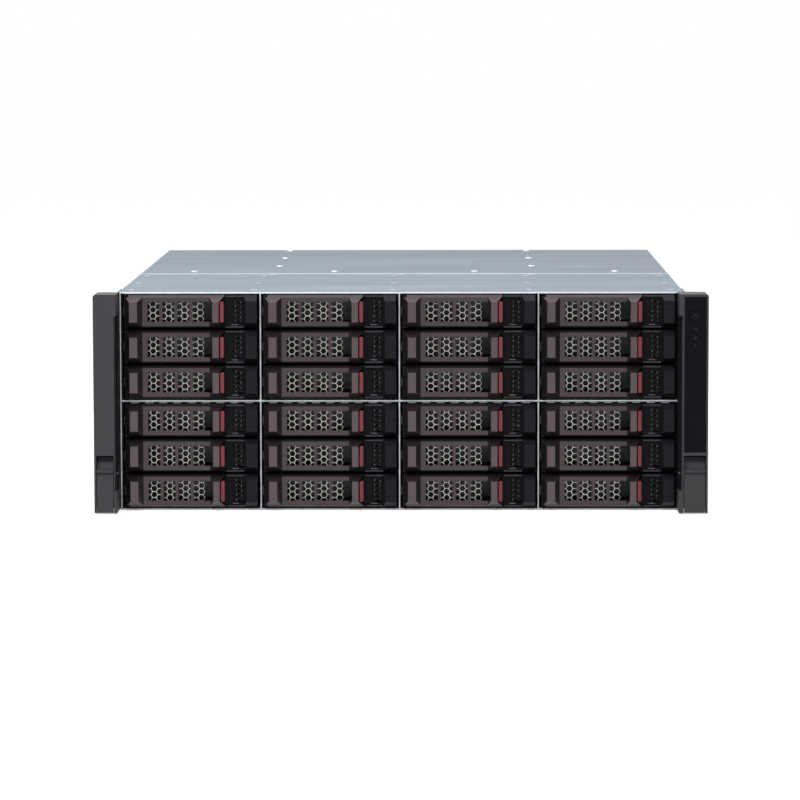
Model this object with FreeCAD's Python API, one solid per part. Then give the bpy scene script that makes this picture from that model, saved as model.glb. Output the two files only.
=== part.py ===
"""Rack disk shelf: twenty-four hot-swap drive carriers in a four-unit steel chassis.

Millimetres, +X to the right of a person facing the shelf, +Y from the front to the back, +Z up.
Everything is drawn with y = 0 on the chassis' front edges and z = 0 under its floor, and is moved
along Y at the end, so that the origin lies under the middle of the whole shelf.
"""

import FreeCAD
import Part
import math
import os

# ---------------------------------------------------------------- driving dimensions
past = 1.0               # how far a cutter runs past the face that it opens

# Drive bays
columns = 4
decks = 2
rows_per_deck = 3
drive_width = 101.6
drive_height = 26.1
drive_length = 147.0
drive_fit = 0.4          # side play between a drive and its tray
tray_wall = 1.6
tray_head = 0.4          # how much higher the tray's slot is than the drive
rail_drop = 7.0          # from the tray's top to its side rails' top
drive_cover_step = 3.0   # how far the drive's cover plate lies inside its edges
slot_side_play = 1.3     # between a tray and the wall beside it
row_gap = 1.5            # between trays, with the ledge in it
seat_height = 1.1        # from a deck's floor to its lowest tray
head_room = 1.3          # from a deck's highest tray to the sheet over it

# Sheet metal
sheet = 1.2
cage_sheet = 1.2         # the drive cage's own side plates
cable_channel = 2.6      # between the cage and the chassis' right wall
divider_thickness = 1.8
shelf_thickness = 1.6
fold_radius = 1.0        # outside, along the chassis' floor
cover_past_wall = 2.0    # the fixed cover's rear edge lies this far behind the fan wall's front
chassis_depth = 560.0
seam_gap = 0.3           # between the fixed cover and the lid

# Slide ledges that carry the trays
ledge_reach = 2.6
ledge_thickness = 0.8
ledge_start = 6.0
seat_gap = 0.3           # between a tray or module and what carries it

# Carrier face
face_trim = 0.1          # how much lower the face is than its tray's slot
face_inset = 0.45        # from the tray's left side to the handle's
base_front = -0.5        # y of the base moulding's front
base_thickness = 3.5
handle_gap = 0.5         # between the base and the closed handle
panel_thickness = 3.0
rib_height = 8.7         # how far the ribs stand in front of the handle's back
rib_wall = 1.7
face_draft = 0.6         # rise of the top and bottom slopes per millimetre of depth
dark_length = 26.5       # what the handle leaves free of the tray's width
rib_foot = 4.2
left_rib_width = 6.3
left_rib_slope = 3.75
right_rib_width = 5.0
right_rib_slope = 2.6
window_start = 18.2
window_end = 15.69       # from the last window to the handle's right end
window_bar = 2.27
window_count = 4
window_margin = 5.2      # over and under the windows
finger_window_margin = 0.6

# Handle hinge and catch
hinge_inset = 1.4        # pin axis from the handle's left end
hinge_depth = 1.2        # pin axis from the handle's back
hinge_pin_radius = 0.7
running_clearance = 0.05
lug_thickness = 1.5
lug_wall = 0.42          # around the pin
lug_clearance = 0.25
tongue_thickness = 1.2
tongue_height = 8.0
tongue_reach = 5.4       # behind the handle's back
barb = 0.6

# Release button
button_width = 3.0
button_margin = 5.0      # over and under the button
button_gap = 1.0         # from the right rib's flat to the button
button_stand = 8.2       # in front of the base
button_travel = 2.0
button_clearance = 0.3
stem_width = 2.2
stem_height = 9.6
stem_clearance = 0.15

# Indicator boss and vents at the right end of the carrier's face
boss_width = 8.55
boss_inset = 0.4         # from the boss to the tray's right side
boss_stand = 7.5
boss_slope = 2.3
rim_width = 1.2
rim_stand = 1.6
vent_count = 5
vent_pitch = 3.9
vent_width = 8.4
vent_height = 1.9

# Grille
grille_thickness = 0.8
grille_lap = 1.5
grille_rise = 0.4        # of its opening over the windows' edges
grille_margin = 0.3

# Backplane, connectors and fans
tray_length = 187.0
drive_end_gap = 3.0      # from the drive's rear to the tray's rear
backplane_gap = 6.0      # from the trays to the board
backplane_thickness = 2.0
connector_width = 42.0
connector_height = 7.0
connector_gap = 0.3      # from a connector's mouth to its drive
connector_offset = 17.0   # from a slot's middle to its connector's
board_window_offset = 8.5
board_window_width = 32.0
board_window_margin = 6.0
board_top_gap = 1.5      # from the board and the fan wall to the lid's flanges
fan_count = 3
fan_size = 120.0
fan_depth = 38.0
fan_duct_wall = 2.5      # least, between the duct and the housing's sides
fan_sides = 16           # flat sides of the duct and the hub
fan_wall_lap = 4.0       # of the housing behind the wall, round its opening
fan_tip_gap = 1.2
fan_hub_radius = 22.0
fan_blades = 7
fan_blade_thickness = 1.8
fan_blade_pitch_angle = 35.0
fan_spider_thickness = 3.0
fan_axle_radius = 2.5
fan_strut = 5.0
fan_hub_set_back = 2.0   # from the housing's front to the hub's
fan_hub_gap = 1.5        # from the hub to the motor's mount
fan_hub_wall = 1.5
fan_chord_share = 0.95   # of the hub's length that the blades take
fan_wall_gap = 14.0      # behind the backplane

# Rack ears
ear_reach = 18.5         # beyond the chassis' sides, which makes the shelf 482.6 wide
rack_hole_inset = 8.75   # from the ear's edge to the rack hole, which puts the holes 465.1 apart
ear_depth = 30.0
ear_foot = 1.0           # from the chassis' underside to the ears
ear_head = 0.3           # from the ears to the top of the cover
ear_wall = 1.8
left_ear_gap = 0.6       # from the chassis' side to the left ear's inner edge
right_ear_lap = 4.3      # how far the right ear reaches in front of the chassis' side
ear_step = 1.6
ear_step_drop = 17.2
ear_corner = 3.0
bracket_thickness = 1.5
bracket_leg = 38.0
left_latch_inset = 2.85    # from the left ear's inner edge to its latch
right_latch_inset = 4.25
latch_side_gap = 0.45
latch_outer_wall = 1.7
latch_opening = 45.5
latch_lip_height = 33.7
latch_lip = 1.5          # how far the lip stands in front of the ear
latch_set_back = 0.4     # from the ear's front to the latch's face
latch_thickness = 2.2
latch_foot_gap = 1.2
latch_top_gap = 1.6
latch_scoop_depth = 7.0
latch_scoop_height = 8.6
latch_boss = 2.2         # half the height of the block around the pivot
latch_pin_radius = 1.2
latch_pin_seat = 1.0     # how deep the pin's ends reach into the housing
latch_pin_end_gap = 0.2
latch_pivot_rise = 5.4
latch_pivot_depth = 5.0
rack_screw_height = 20.3
rack_screw_radius = 3.0
rack_screw_clearance = 1.25  # in the bracket's hole, so that the captive screw floats
rack_screw_length = 12.0
rack_screw_head_radius = 5.0
rack_screw_head_length = 11.0

# Control panel on the right ear
panel_inset_outer = 1.6
panel_inset_inner = 2.2
panel_inset_top = 2.0
panel_inset_bottom = 2.4
panel_plate = 1.5
power_button_size = 9.6
power_button_drop = 15.8
power_button_gap = 0.25
power_button_travel = 1.5
power_button_set_back = 0.2
power_button_length = 8.0

# Rear bay and its modules
bay_sheet = 1.2
bay_depth = 205.0
bay_inset = 9.6          # from the chassis' left wall to the bay frame
bay_gap = 1.0            # beside and over each module
module_height = 40.0
psu_width = 76.0
psu_length = 190.0
module_width = 200.0
module_length = 188.0
module_sheet = 1.2
module_side_height = 18.0
board_rise = 5.0         # from a module's floor to its board
board_thickness = 1.6
face_thickness = 1.5
face_lap = 1.6
handle_reach = 22.0
handle_bar = 4.0
psu_handle_width = 40.0
module_handle_width = 46.0
module_handle_height = 8.0
module_handle_inset = 30.0
inlet_width = 27.5
inlet_height = 20.0
inlet_depth = 16.0
psu_fan_radius = 15.0
psu_fan_depth = 6.0
psu_margin = 4.0
psu_handle_rise = 35.5   # from the case's floor to the handle's middle
psu_handle_height = 7.0
port_count = 3
port_width = 17.0
port_height = 11.0
port_depth = 22.0
port_pitch = 26.0
port_start = 32.5        # from a module's left side to the middle of its first port
psu_latch_inset = 6.5    # from the case's right side to the tab's pin
psu_latch_width = 3.0
psu_latch_height = 14.0
psu_latch_reach = 12.0
psu_latch_pin_radius = 1.5
psu_latch_pin_depth = 6.0
psu_latch_wall = 1.0
psu_latch_play = 1.2

# Air outlets over the modules
exhaust_count = 4
exhaust_bar = 10.0
exhaust_margin = 12.0    # beside, over and under the row of outlets

# Lid
lid_flange = 9.0
lid_flange_gap = 0.4
lid_hem = 6.0
lid_hem_height = 0.9
screw_head_radius = 3.2
screw_head_height = 0.9
seam_screw_inset = 30.0
seam_screw_count = 4
seam_screw_side = 43.8   # from the lid's side to its outer screws
lid_row_inset = 113.3    # from the lid's side to a row of screws
lid_row_count = 3
lid_row_front = 101.0    # from the lid's front edge to the rows' first screws
lid_row_back = 16.0      # from the rows' last screws to the lid's rear edge
screw_sides = 12

# Holes for the slide rails' screws in the chassis' sides
rail_hole_radius = 2.1
rail_hole_front = 230.0
rail_hole_back = 60.0    # from the rear holes to the chassis' rear edge

# ---------------------------------------------------------------- worked-out values
tray_width = drive_width + 2 * (drive_fit + tray_wall)
tray_height = drive_height + tray_head
slot_width = tray_width + 2 * slot_side_play
column_pitch = slot_width + divider_thickness
row_pitch = tray_height + row_gap
deck_height = seat_height + rows_per_deck * row_pitch - row_gap + head_room
cage_width = columns * slot_width + (columns - 1) * divider_thickness
inner_half_width = (cage_width + cable_channel) / 2 + cage_sheet
cage_shift = -cable_channel / 2
half_width = inner_half_width + sheet
shelf_bottom = sheet + deck_height
shelf_top = shelf_bottom + shelf_thickness
wall_top = shelf_top + (decks - 1) * deck_height
chassis_height = wall_top + sheet
rail_hole_height = chassis_height / 2
rail_hole_depths = (rail_hole_front, chassis_depth - rail_hole_back)

face_height = tray_height - face_trim
handle_length = tray_width - dark_length
window_pitch = (handle_length - window_start - window_end + window_bar) / window_count
window_width = window_pitch - window_bar
window_height = face_height - 2 * window_margin
button_height = face_height - 2 * button_margin
grille_opening_height = window_height + 2 * grille_rise
base_back = base_front + base_thickness
handle_back = base_front - handle_gap
panel_front = handle_back - panel_thickness
rib_front = handle_back - rib_height
face_left = face_inset - tray_width / 2
half_face = face_height / 2
tray_rear = base_back + tray_length
drive_rear = tray_rear - drive_end_gap
drive_front = drive_rear - drive_length
backplane_front = tray_rear + backplane_gap
backplane_rear = backplane_front + backplane_thickness
cage_rear = backplane_front

hinge_x = face_left + hinge_inset
hinge_y = handle_back - hinge_depth
lug_half = hinge_pin_radius + lug_wall
right_rib_end = handle_length - rib_foot
right_rib_start = right_rib_end - right_rib_width
finger_window_end = right_rib_start - right_rib_slope - finger_window_margin
button_left = right_rib_end + button_gap

board_top = wall_top - lid_flange - board_top_gap
fan_wall_front = backplane_rear + fan_wall_gap
front_cover_length = fan_wall_front + cover_past_wall
lid_front = front_cover_length + seam_gap
fan_front = fan_wall_front + bay_sheet
fan_rear = fan_front + fan_depth
fan_pitch = 2 * inner_half_width / fan_count
fan_bore_radius = fan_size / 2 - fan_duct_wall
fan_wall_opening = fan_size - 2 * fan_wall_lap
fan_middle_z = sheet + fan_size / 2 + (wall_top - sheet - fan_size) / 2

ear_half = half_width + ear_reach
ear_left_inner = half_width + left_ear_gap
ear_right_inner = half_width - right_ear_lap
rack_hole_place = ear_half - rack_hole_inset
left_latch_inner = ear_left_inner + left_latch_inset
right_latch_inner = ear_right_inner + right_latch_inset
ear_front = -ear_depth
ear_bottom = ear_foot
ear_top = chassis_height - ear_head
latch_opening_top = ear_bottom + latch_opening
latch_pivot_y = ear_front + latch_pivot_depth
latch_pivot_z = ear_bottom + latch_pivot_rise

rear_face = chassis_depth
bay_front = rear_face - bay_depth
bay_slot_height = seat_gap + module_height + bay_gap
psu_slot_width = psu_width + 2 * bay_gap
module_slot_width = module_width + 2 * bay_gap
bay_left = bay_inset - inner_half_width
bay_top = sheet + bay_sheet + 2 * (bay_slot_height + bay_sheet)
psu_slot_left = bay_left + bay_sheet
module_slot_left = psu_slot_left + psu_slot_width + bay_sheet
bay_right = module_slot_left + module_slot_width + bay_sheet
face_rear = rear_face + face_thickness

front_reach = ear_depth + latch_lip
rear_reach = face_rear + handle_reach
to_origin = FreeCAD.Vector(0, (front_reach - rear_reach) / 2, 0)


# ---------------------------------------------------------------- drawing helpers
def block(x, y, z):
    """A box between two values on each axis."""
    low = FreeCAD.Vector(min(x), min(y), min(z))
    return Part.makeBox(max(x) - low.x, max(y) - low.y, max(z) - low.z, low)


def around(middle, size):
    """The two values that lie half of size to either side of middle."""
    return middle - size / 2, middle + size / 2


def through(low, high):
    """A cutter's span, which runs past both faces."""
    return low - past, high + past


def prism(outline, direction):
    """The closed outline, a list of 3-D points, pushed along a vector."""
    wire = Part.makePolygon(outline + outline[:1])
    return Part.Face(wire).extrude(FreeCAD.Vector(*direction))


def plan_prism(points, z):
    """An (x, y) outline between two heights."""
    return prism([FreeCAD.Vector(px, py, min(z)) for px, py in points], (0, 0, max(z) - min(z)))


def side_prism(points, x):
    """A (y, z) outline between two places across the shelf."""
    return prism([FreeCAD.Vector(min(x), py, pz) for py, pz in points], (max(x) - min(x), 0, 0))


def rod(radius, start, end):
    """A round bar from one point to another."""
    a, b = FreeCAD.Vector(*start), FreeCAD.Vector(*end)
    return Part.makeCylinder(radius, (b - a).Length, a, b - a)


def faceted_rod(sides, radius, start, end):
    """A bar with flat sides, from one point to another; the radius is that of its corners."""
    a, b = FreeCAD.Vector(*start), FreeCAD.Vector(*end)
    turn = FreeCAD.Rotation(FreeCAD.Vector(0, 0, 1), b - a)
    corners = []
    for k in range(sides):
        angle = 2 * math.pi * k / sides
        corner = FreeCAD.Vector(radius * math.cos(angle), radius * math.sin(angle), 0)
        corners.append(a + turn.multVec(corner))
    return prism(corners, tuple(b - a))


def evenly(first, last, count):
    """Evenly spaced values from the first to the last."""
    return [first + (last - first) * n / (count - 1) for n in range(count)]


def joined(shapes):
    """One solid from shapes that touch or overlap, with its flush faces merged."""
    return shapes[0].multiFuse(shapes[1:]).removeSplitter() if len(shapes) > 1 else shapes[0]


def cut(shape, tools):
    return shape.cut(tools)


def moved(shape, x=0.0, y=0.0, z=0.0):
    copy = shape.copy()
    copy.translate(FreeCAD.Vector(x, y, z))
    return copy


def slot_middle(column):
    """x of a slot's middle, counted from the left."""
    return cage_shift + (column - (columns - 1) / 2) * column_pitch


def row_middle(row):
    """z of a row's middle, counted from the top."""
    from_below = decks * rows_per_deck - 1 - row
    deck, step = divmod(from_below, rows_per_deck)
    deck_floor = sheet + deck * (deck_height + shelf_thickness)
    return deck_floor + seat_height + tray_height / 2 + step * row_pitch


# ---------------------------------------------------------------- drive carrier
def slope_limits(back):
    """The wedge that gives the face its sloping top and bottom, from the plane y = back forwards."""
    reach = half_face / face_draft
    return side_prism([(back, -half_face), (back - reach, 0), (back, half_face)], (-tray_width, tray_width))


def u(distance):
    """x of a place on the carrier's face, measured from the handle's left end."""
    return face_left + distance


def handle_windows():
    """Cutters for the windows; the last one runs on into the finger recess."""
    cutters = []
    for n in range(window_count):
        start = window_start + n * window_pitch
        end = finger_window_end if n == window_count - 1 else start + window_width
        y = through(panel_front, handle_back)
        cutters.append(block((u(start), u(end)), y, around(0, window_height)))
    return cutters


def button_notch():
    """Cutter for the room that the handle leaves to the release button."""
    x = (u(right_rib_end + button_gap / 2), u(handle_length + past))
    return block(x, through(rib_front, handle_back), around(0, button_height + 2 * button_clearance))


def plain_handle():
    """The handle's outside: two faceted ribs joined by a windowed panel."""
    outline = [
        (u(0), handle_back),
        (u(0), handle_back - hinge_depth),
        (u(rib_foot), rib_front),
        (u(rib_foot + left_rib_width), rib_front),
        (u(rib_foot + left_rib_width + left_rib_slope), panel_front),
        (u(right_rib_start - right_rib_slope), panel_front),
        (u(right_rib_start), rib_front),
        (u(right_rib_end), rib_front),
        (u(handle_length), handle_back - hinge_depth),
        (u(handle_length), handle_back),
    ]
    body = plan_prism(outline, (-half_face, half_face)).common(slope_limits(handle_back))
    return cut(body, [*handle_windows(), button_notch()])


def handle():
    """The swinging handle: hollow ribs, bores for the hinge pin, and the tongue of the catch."""
    body = plain_handle()
    pocket_half = window_height / 2 - rib_wall / 2
    pocket_floor = rib_front + rib_wall
    left_pocket = plan_prism(
        [
            (u(rib_foot), handle_back),
            (u(rib_foot + rib_wall / 2), pocket_floor),
            (u(rib_foot + left_rib_width - rib_wall / 2), pocket_floor),
            (u(rib_foot + left_rib_width + left_rib_slope - rib_wall), handle_back),
        ],
        (-pocket_half, pocket_half),
    )
    finger_pocket = plan_prism(
        [
            (u(finger_window_end), handle_back),
            (u(right_rib_start + rib_wall / 2), pocket_floor),
            (u(right_rib_end - rib_wall / 2), pocket_floor),
            (u(right_rib_end), handle_back),
        ],
        (-pocket_half, pocket_half),
    )
    lug_room = hinge_inset + lug_half * math.sqrt(2) + lug_clearance
    lug_cuts = [
        block(
            (u(-past), u(lug_room)),
            through(rib_front, handle_back),
            (side * (half_face - lug_thickness - lug_clearance), side * (half_face + past)),
        )
        for side in (-1, 1)
    ]
    corner = plan_prism(
        [(u(-past), handle_back + past), (u(-past), hinge_y), (u(hinge_inset + past), handle_back + past)],
        (-half_face, half_face),
    )
    bore_radius = hinge_pin_radius + running_clearance
    bore = rod(bore_radius, (hinge_x, hinge_y, -half_face), (hinge_x, hinge_y, half_face))
    body = cut(body, [left_pocket, finger_pocket, *lug_cuts, corner, bore])

    tongue_right = u(right_rib_end - rib_wall / 2)
    tongue = plan_prism(
        [
            (tongue_right - tongue_thickness, pocket_floor - rib_wall / 2),
            (tongue_right - tongue_thickness, handle_back + tongue_reach),
            (tongue_right, handle_back + tongue_reach),
            (tongue_right + barb, handle_back + tongue_reach - tongue_thickness),
            (tongue_right, handle_back + tongue_reach - tongue_thickness),
            (tongue_right, pocket_floor - rib_wall / 2),
        ],
        (-tongue_height / 2, tongue_height / 2),
    )
    return joined([body, tongue])


def button_cap(back):
    """The part of the release button that a finger presses, from its front to the plane y = back."""
    x = (u(button_left), u(button_left + button_width))
    return block(x, (base_front - button_stand, back), around(0, button_height))


def release_button():
    """The button beside the handle, on a stem that runs through the base and ends in a wedge."""
    middle_x = u(button_left + button_width / 2)
    cap_back = base_front - button_travel - button_clearance
    tip = base_back + tongue_thickness
    stem = plan_prism(
        [
            (middle_x - stem_width / 2, cap_back),
            (middle_x - stem_width / 2, tip - stem_width / 2),
            (middle_x, tip),
            (middle_x + stem_width / 2, tip),
            (middle_x + stem_width / 2, cap_back),
        ],
        (-stem_height / 2, stem_height / 2),
    )
    return joined([button_cap(cap_back), stem])


def boss_edges():
    """x of the indicator boss' flat, and of the foot of its left slope."""
    right = tray_width / 2 - boss_inset
    return right - boss_width - boss_slope, right - boss_width, right


def base_and_rails():
    """The base moulding with its indicator boss, and the two side rails that hold the drive."""
    half = tray_width / 2
    half_high = tray_height / 2
    rail_top = half_high - rail_drop
    plate = block((-half, half), (base_front, base_back), (-half_high, half_high))
    rails = [
        block((side * half, side * (half - tray_wall)), (base_back, tray_rear), (-half_high, rail_top))
        for side in (-1, 1)
    ]
    foot, left, right = boss_edges()
    top = base_front - boss_stand
    outline = [(foot, base_front), (left, top), (right, top), (right, base_front)]
    boss = plan_prism(outline, (-half_face, half_face)).common(slope_limits(base_front))
    return [plate, *rails, boss]


def grille_cutter():
    return block(grille_opening(), through(base_front, base_back), around(0, grille_opening_height))


def catch_cutter():
    """The room in the base for the handle's tongue and the button's stem."""
    left = u(right_rib_end - rib_wall / 2 - tongue_thickness - button_clearance)
    right = u(button_left + (button_width + stem_width) / 2 + stem_clearance)
    return block((left, right), through(base_front, base_back), around(0, stem_height + 2 * stem_clearance))


def plain_tray():
    return cut(joined(base_and_rails()), [grille_cutter()])


def tray():
    """The base moulding with all its detail: frame strips, vents and lugs for the hinge pin."""
    foot = boss_edges()[0]
    dark_left = u(handle_length + button_clearance)
    strip_middle = half_face - rim_stand * face_draft - rim_width / 2
    strip_y = (base_front - rim_stand, base_front)
    strips = [block((dark_left, foot), strip_y, around(side * strip_middle, rim_width)) for side in (-1, 1)]
    lugs = [
        block(
            (hinge_x - lug_half, hinge_x + lug_half),
            (hinge_y - lug_half, base_front),
            (side * (half_face - lug_thickness), side * half_face),
        )
        for side in (-1, 1)
    ]
    vents = []
    for n in range(vent_count):
        middle = ((vent_count - 1) / 2 - n) * vent_pitch
        y = through(base_front, base_back)
        vents.append(block((foot - vent_width, foot), y, around(middle, vent_height)))
    body = joined([*base_and_rails(), *strips, *lugs])
    return cut(body, [grille_cutter(), catch_cutter(), *vents, hinge_pin()])


def grille_opening():
    """Left and right edge of the opening behind the handle's windows."""
    left = u(window_start - grille_lap)
    right = u(window_start + (window_count - 1) * window_pitch + window_width + grille_margin)
    return left, right


def plain_grille():
    """The plate behind the handle's windows, which is perforated."""
    left, right = grille_opening()
    y = (base_back, base_back + grille_thickness)
    z = around(0, grille_opening_height + 2 * grille_lap)
    return block((left - grille_lap, right + grille_lap), y, z)


def grille():
    """The plate behind the windows, with one opening to each window."""
    bar = window_pitch - window_width
    y = through(base_back, base_back + grille_thickness)
    openings = []
    for n in range(window_count):
        start = window_start + n * window_pitch
        z = around(0, grille_opening_height - 2 * bar)
        openings.append(block((u(start), u(start + window_width)), y, z))
    return cut(plain_grille(), openings)


def hinge_pin():
    return rod(hinge_pin_radius, (hinge_x, hinge_y, -half_face), (hinge_x, hinge_y, half_face))


def drive():
    """A 3.5 inch disk drive: a cast base with its cover plate let in."""
    half = drive_width / 2
    low = -drive_height / 2
    step = drive_cover_step
    step_z = low + drive_height - step
    casting = block((-half, half), (drive_front, drive_rear), (low, step_z))
    cover_y = (drive_front + step, drive_rear - 2 * step)
    cover = block((-half + step, half - step), cover_y, (step_z, low + drive_height))
    return joined([casting, cover])


# ---------------------------------------------------------------- chassis
def chassis_tub():
    """The floor and the two sides that are welded to it, each with a rounded lower edge."""
    solids = [block((-inner_half_width, inner_half_width), (0, chassis_depth), (0, sheet))]
    for side in (-1, 1):
        x = (side * inner_half_width, side * half_width)
        plate = block(x, (0, chassis_depth), (0, wall_top))
        corner = [
            edge for edge in plate.Edges
            if abs(edge.BoundBox.XMin - x[1]) < sheet / 2 and edge.BoundBox.ZMax < sheet / 2
            and edge.BoundBox.YLength > sheet
        ]
        plate = plate.makeFillet(fold_radius, corner)
        bores = []
        for y in rail_hole_depths:
            ends = ((x[0] - side * past, y, rail_hole_height), (x[1] + side * past, y, rail_hole_height))
            bores.append(rod(rail_hole_radius, *ends))
        solids.append(cut(plate, bores))
    return solids


def rear_panel():
    """The rear wall, with one opening around the modules' bay and a row of air outlets over it."""
    y = (chassis_depth - sheet, chassis_depth)
    plate = block((-inner_half_width, inner_half_width), y, (sheet, wall_top))
    tools = [block((bay_left, bay_right), through(*y), (sheet - past, bay_top))]
    left = exhaust_margin - inner_half_width
    pitch = (exhaust_bar - 2 * left) / exhaust_count
    z = (bay_top + exhaust_margin, wall_top - lid_flange - exhaust_margin)
    for n in range(exhaust_count):
        tools.append(block((left + n * pitch, left + (n + 1) * pitch - exhaust_bar), through(*y), z))
    return cut(plate, tools)


def front_top_cover():
    """The fixed cover over the drive cage, with a flange turned down at its rear."""
    plate = block((-half_width, half_width), (0, front_cover_length), (wall_top, chassis_height))
    flange_y = (front_cover_length - sheet, front_cover_length)
    flange = block((-inner_half_width, inner_half_width), flange_y, (wall_top - lid_flange, wall_top))
    return joined([plate, flange])


def rear_lid():
    """The lid over the electronics, with a raised hem in front and flanges inside the chassis' walls."""
    x = (-half_width, half_width)
    plate = block(x, (lid_front, chassis_depth), (wall_top, chassis_height))
    hem = block(x, (lid_front, lid_front + lid_hem), (chassis_height, chassis_height + lid_hem_height))
    flange_y = (lid_front + lid_hem, chassis_depth - lid_hem)
    middle = inner_half_width - lid_flange_gap - sheet / 2
    flange_z = (wall_top - lid_flange, wall_top)
    flanges = [block(around(side * middle, sheet), flange_y, flange_z) for side in (-1, 1)]
    return joined([plate, hem, *flanges])


def lid_screws():
    """Pan-head screws that hold the lid down: a row behind the seam and two rows from front to back."""
    outer = half_width - seam_screw_side
    places = [(x, lid_front + seam_screw_inset) for x in evenly(-outer, outer, seam_screw_count)]
    row_depths = evenly(lid_front + lid_row_front, chassis_depth - lid_row_back, lid_row_count)
    row_x = half_width - lid_row_inset
    places += [(side * row_x, y) for side in (-1, 1) for y in row_depths]
    heads = []
    for x, y in places:
        foot = (x, y, chassis_height)
        heads.append(faceted_rod(screw_sides, screw_head_radius, foot, (x, y, foot[2] + screw_head_height)))
    return heads


def cage_shelf():
    """The shelf between the two decks, across the whole chassis."""
    return block((-inner_half_width, inner_half_width), (0, cage_rear), (shelf_bottom, shelf_top))


def deck_floor(deck):
    return sheet + deck * (deck_height + shelf_thickness)


def ledge_heights(deck):
    """(bottom, top) of the ledges in a deck; the lowest one lies on the deck's floor."""
    first = deck_floor(deck) + seat_height - seat_gap
    heights = [(deck_floor(deck), first)]
    for n in range(1, rows_per_deck):
        top = first + n * row_pitch
        heights.append((top - ledge_thickness, top))
    return heights


def upright(x, deck, sides):
    """An upright plate of a deck, between two values of x, and the ledges welded to its sides."""
    floor = deck_floor(deck)
    solids = [block(x, (0, cage_rear), (floor, floor + deck_height))]
    for side in sides:
        face = max(x) if side > 0 else min(x)
        for z in ledge_heights(deck):
            solids.append(block((face, face + side * ledge_reach), (ledge_start, tray_rear), z))
    return solids


def cage_dividers():
    """Three dividers in each deck, with ledges for the trays on both sides."""
    solids = []
    for deck in range(decks):
        for n in range(1, columns):
            middle = slot_middle(n) - column_pitch / 2
            solids += upright(around(middle, divider_thickness), deck, (-1, 1))
    return solids


def cage_sides():
    """The cage's two side plates in each deck, with ledges on their inner sides."""
    left = cage_shift - cage_width / 2
    right = cage_shift + cage_width / 2
    solids = []
    for deck in range(decks):
        solids += upright((left - cage_sheet, left), deck, (1,))
        solids += upright((right, right + cage_sheet), deck, (-1,))
    return solids


def backplane():
    """The board behind the drives, with an air window beside the connectors of each column and deck."""
    half = inner_half_width - slot_side_play
    board = block((-half, half), (backplane_front, backplane_rear), (sheet, board_top))
    windows = []
    for column in range(columns):
        left = slot_middle(column) + board_window_offset
        for deck in range(decks):
            low = deck_floor(deck) + board_window_margin
            high = deck_floor(deck) + deck_height - 2 * board_window_margin
            y = through(backplane_front, backplane_rear)
            windows.append(block((left, left + board_window_width), y, (low, high)))
    return cut(board, windows)


def drive_connectors():
    """One connector on the board for each drive."""
    solids = []
    for column in range(columns):
        for row in range(decks * rows_per_deck):
            x = slot_middle(column) - connector_offset
            z = row_middle(row) - drive_height / 2 + connector_height
            solids.append(
                block(
                    (x - connector_width / 2, x + connector_width / 2),
                    (drive_rear + connector_gap, backplane_front),
                    (z - connector_height / 2, z + connector_height / 2),
                )
            )
    return solids


# ---------------------------------------------------------------- fans
def fan_middle(n):
    return (n - (fan_count - 1) / 2) * fan_pitch


def fan_wall():
    """The bulkhead that the fans are fixed to."""
    plate = block((-inner_half_width, inner_half_width), (fan_wall_front, fan_front), (sheet, board_top))
    y = through(fan_wall_front, fan_front)
    z = around(fan_middle_z, fan_wall_opening)
    return cut(plate, [block(around(fan_middle(n), fan_wall_opening), y, z) for n in range(fan_count)])


def fan_frame(n):
    """A square housing with a round duct, and the four struts that carry the motor's mount and axle."""
    x = fan_middle(n)
    housing = block(around(x, fan_size), (fan_front, fan_rear), around(fan_middle_z, fan_size))
    duct_y = through(fan_front, fan_rear)
    duct = faceted_rod(fan_sides, fan_bore_radius, (x, duct_y[0], fan_middle_z), (x, duct_y[1], fan_middle_z))
    spider = (fan_rear - fan_spider_thickness, fan_rear)
    mount = faceted_rod(fan_sides, fan_hub_radius, (x, spider[0], fan_middle_z), (x, spider[1], fan_middle_z))
    reach = fan_bore_radius + fan_size / 2
    struts = [
        block(around(x, reach), spider, around(fan_middle_z, fan_strut)),
        block(around(x, fan_strut), spider, around(fan_middle_z, reach)),
    ]
    axle_front = fan_front + 2 * fan_hub_set_back
    axle = rod(fan_axle_radius, (x, axle_front, fan_middle_z), (x, spider[0], fan_middle_z))
    return joined([cut(housing, [duct]), mount, *struts, axle])


def fan_rotor(n):
    """Hub and pitched blades, turning on the axle."""
    x = fan_middle(n)
    hub_front = fan_front + fan_hub_set_back
    hub_rear = fan_rear - fan_spider_thickness - fan_hub_gap
    hub = faceted_rod(fan_sides, fan_hub_radius, (x, hub_front, fan_middle_z), (x, hub_rear, fan_middle_z))
    chord = (hub_rear - hub_front) * fan_chord_share
    thick = fan_blade_thickness / 2
    half_spread = chord * math.sin(math.radians(fan_blade_pitch_angle)) / 2 + fan_blade_thickness
    duct_inside = fan_bore_radius * math.cos(math.pi / fan_sides)
    blade_tip = math.sqrt((duct_inside - fan_tip_gap) ** 2 - half_spread ** 2)
    blade = block((-chord / 2, chord / 2), (-thick, thick), (fan_hub_radius * fan_chord_share, blade_tip))
    origin = FreeCAD.Vector(0, 0, 0)
    blade.rotate(origin, FreeCAD.Vector(0, 0, 1), 90 - fan_blade_pitch_angle)
    blades = []
    for k in range(fan_blades):
        one = blade.copy()
        one.rotate(origin, FreeCAD.Vector(0, 1, 0), k * 360.0 / fan_blades)
        blades.append(moved(one, x, (hub_front + hub_rear) / 2, fan_middle_z))
    socket_start = hub_front + fan_hub_wall
    socket_radius = fan_axle_radius + running_clearance
    socket = rod(socket_radius, (x, socket_start, fan_middle_z), (x, hub_rear + past, fan_middle_z))
    return cut(joined([hub, *blades]), [socket])


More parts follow.
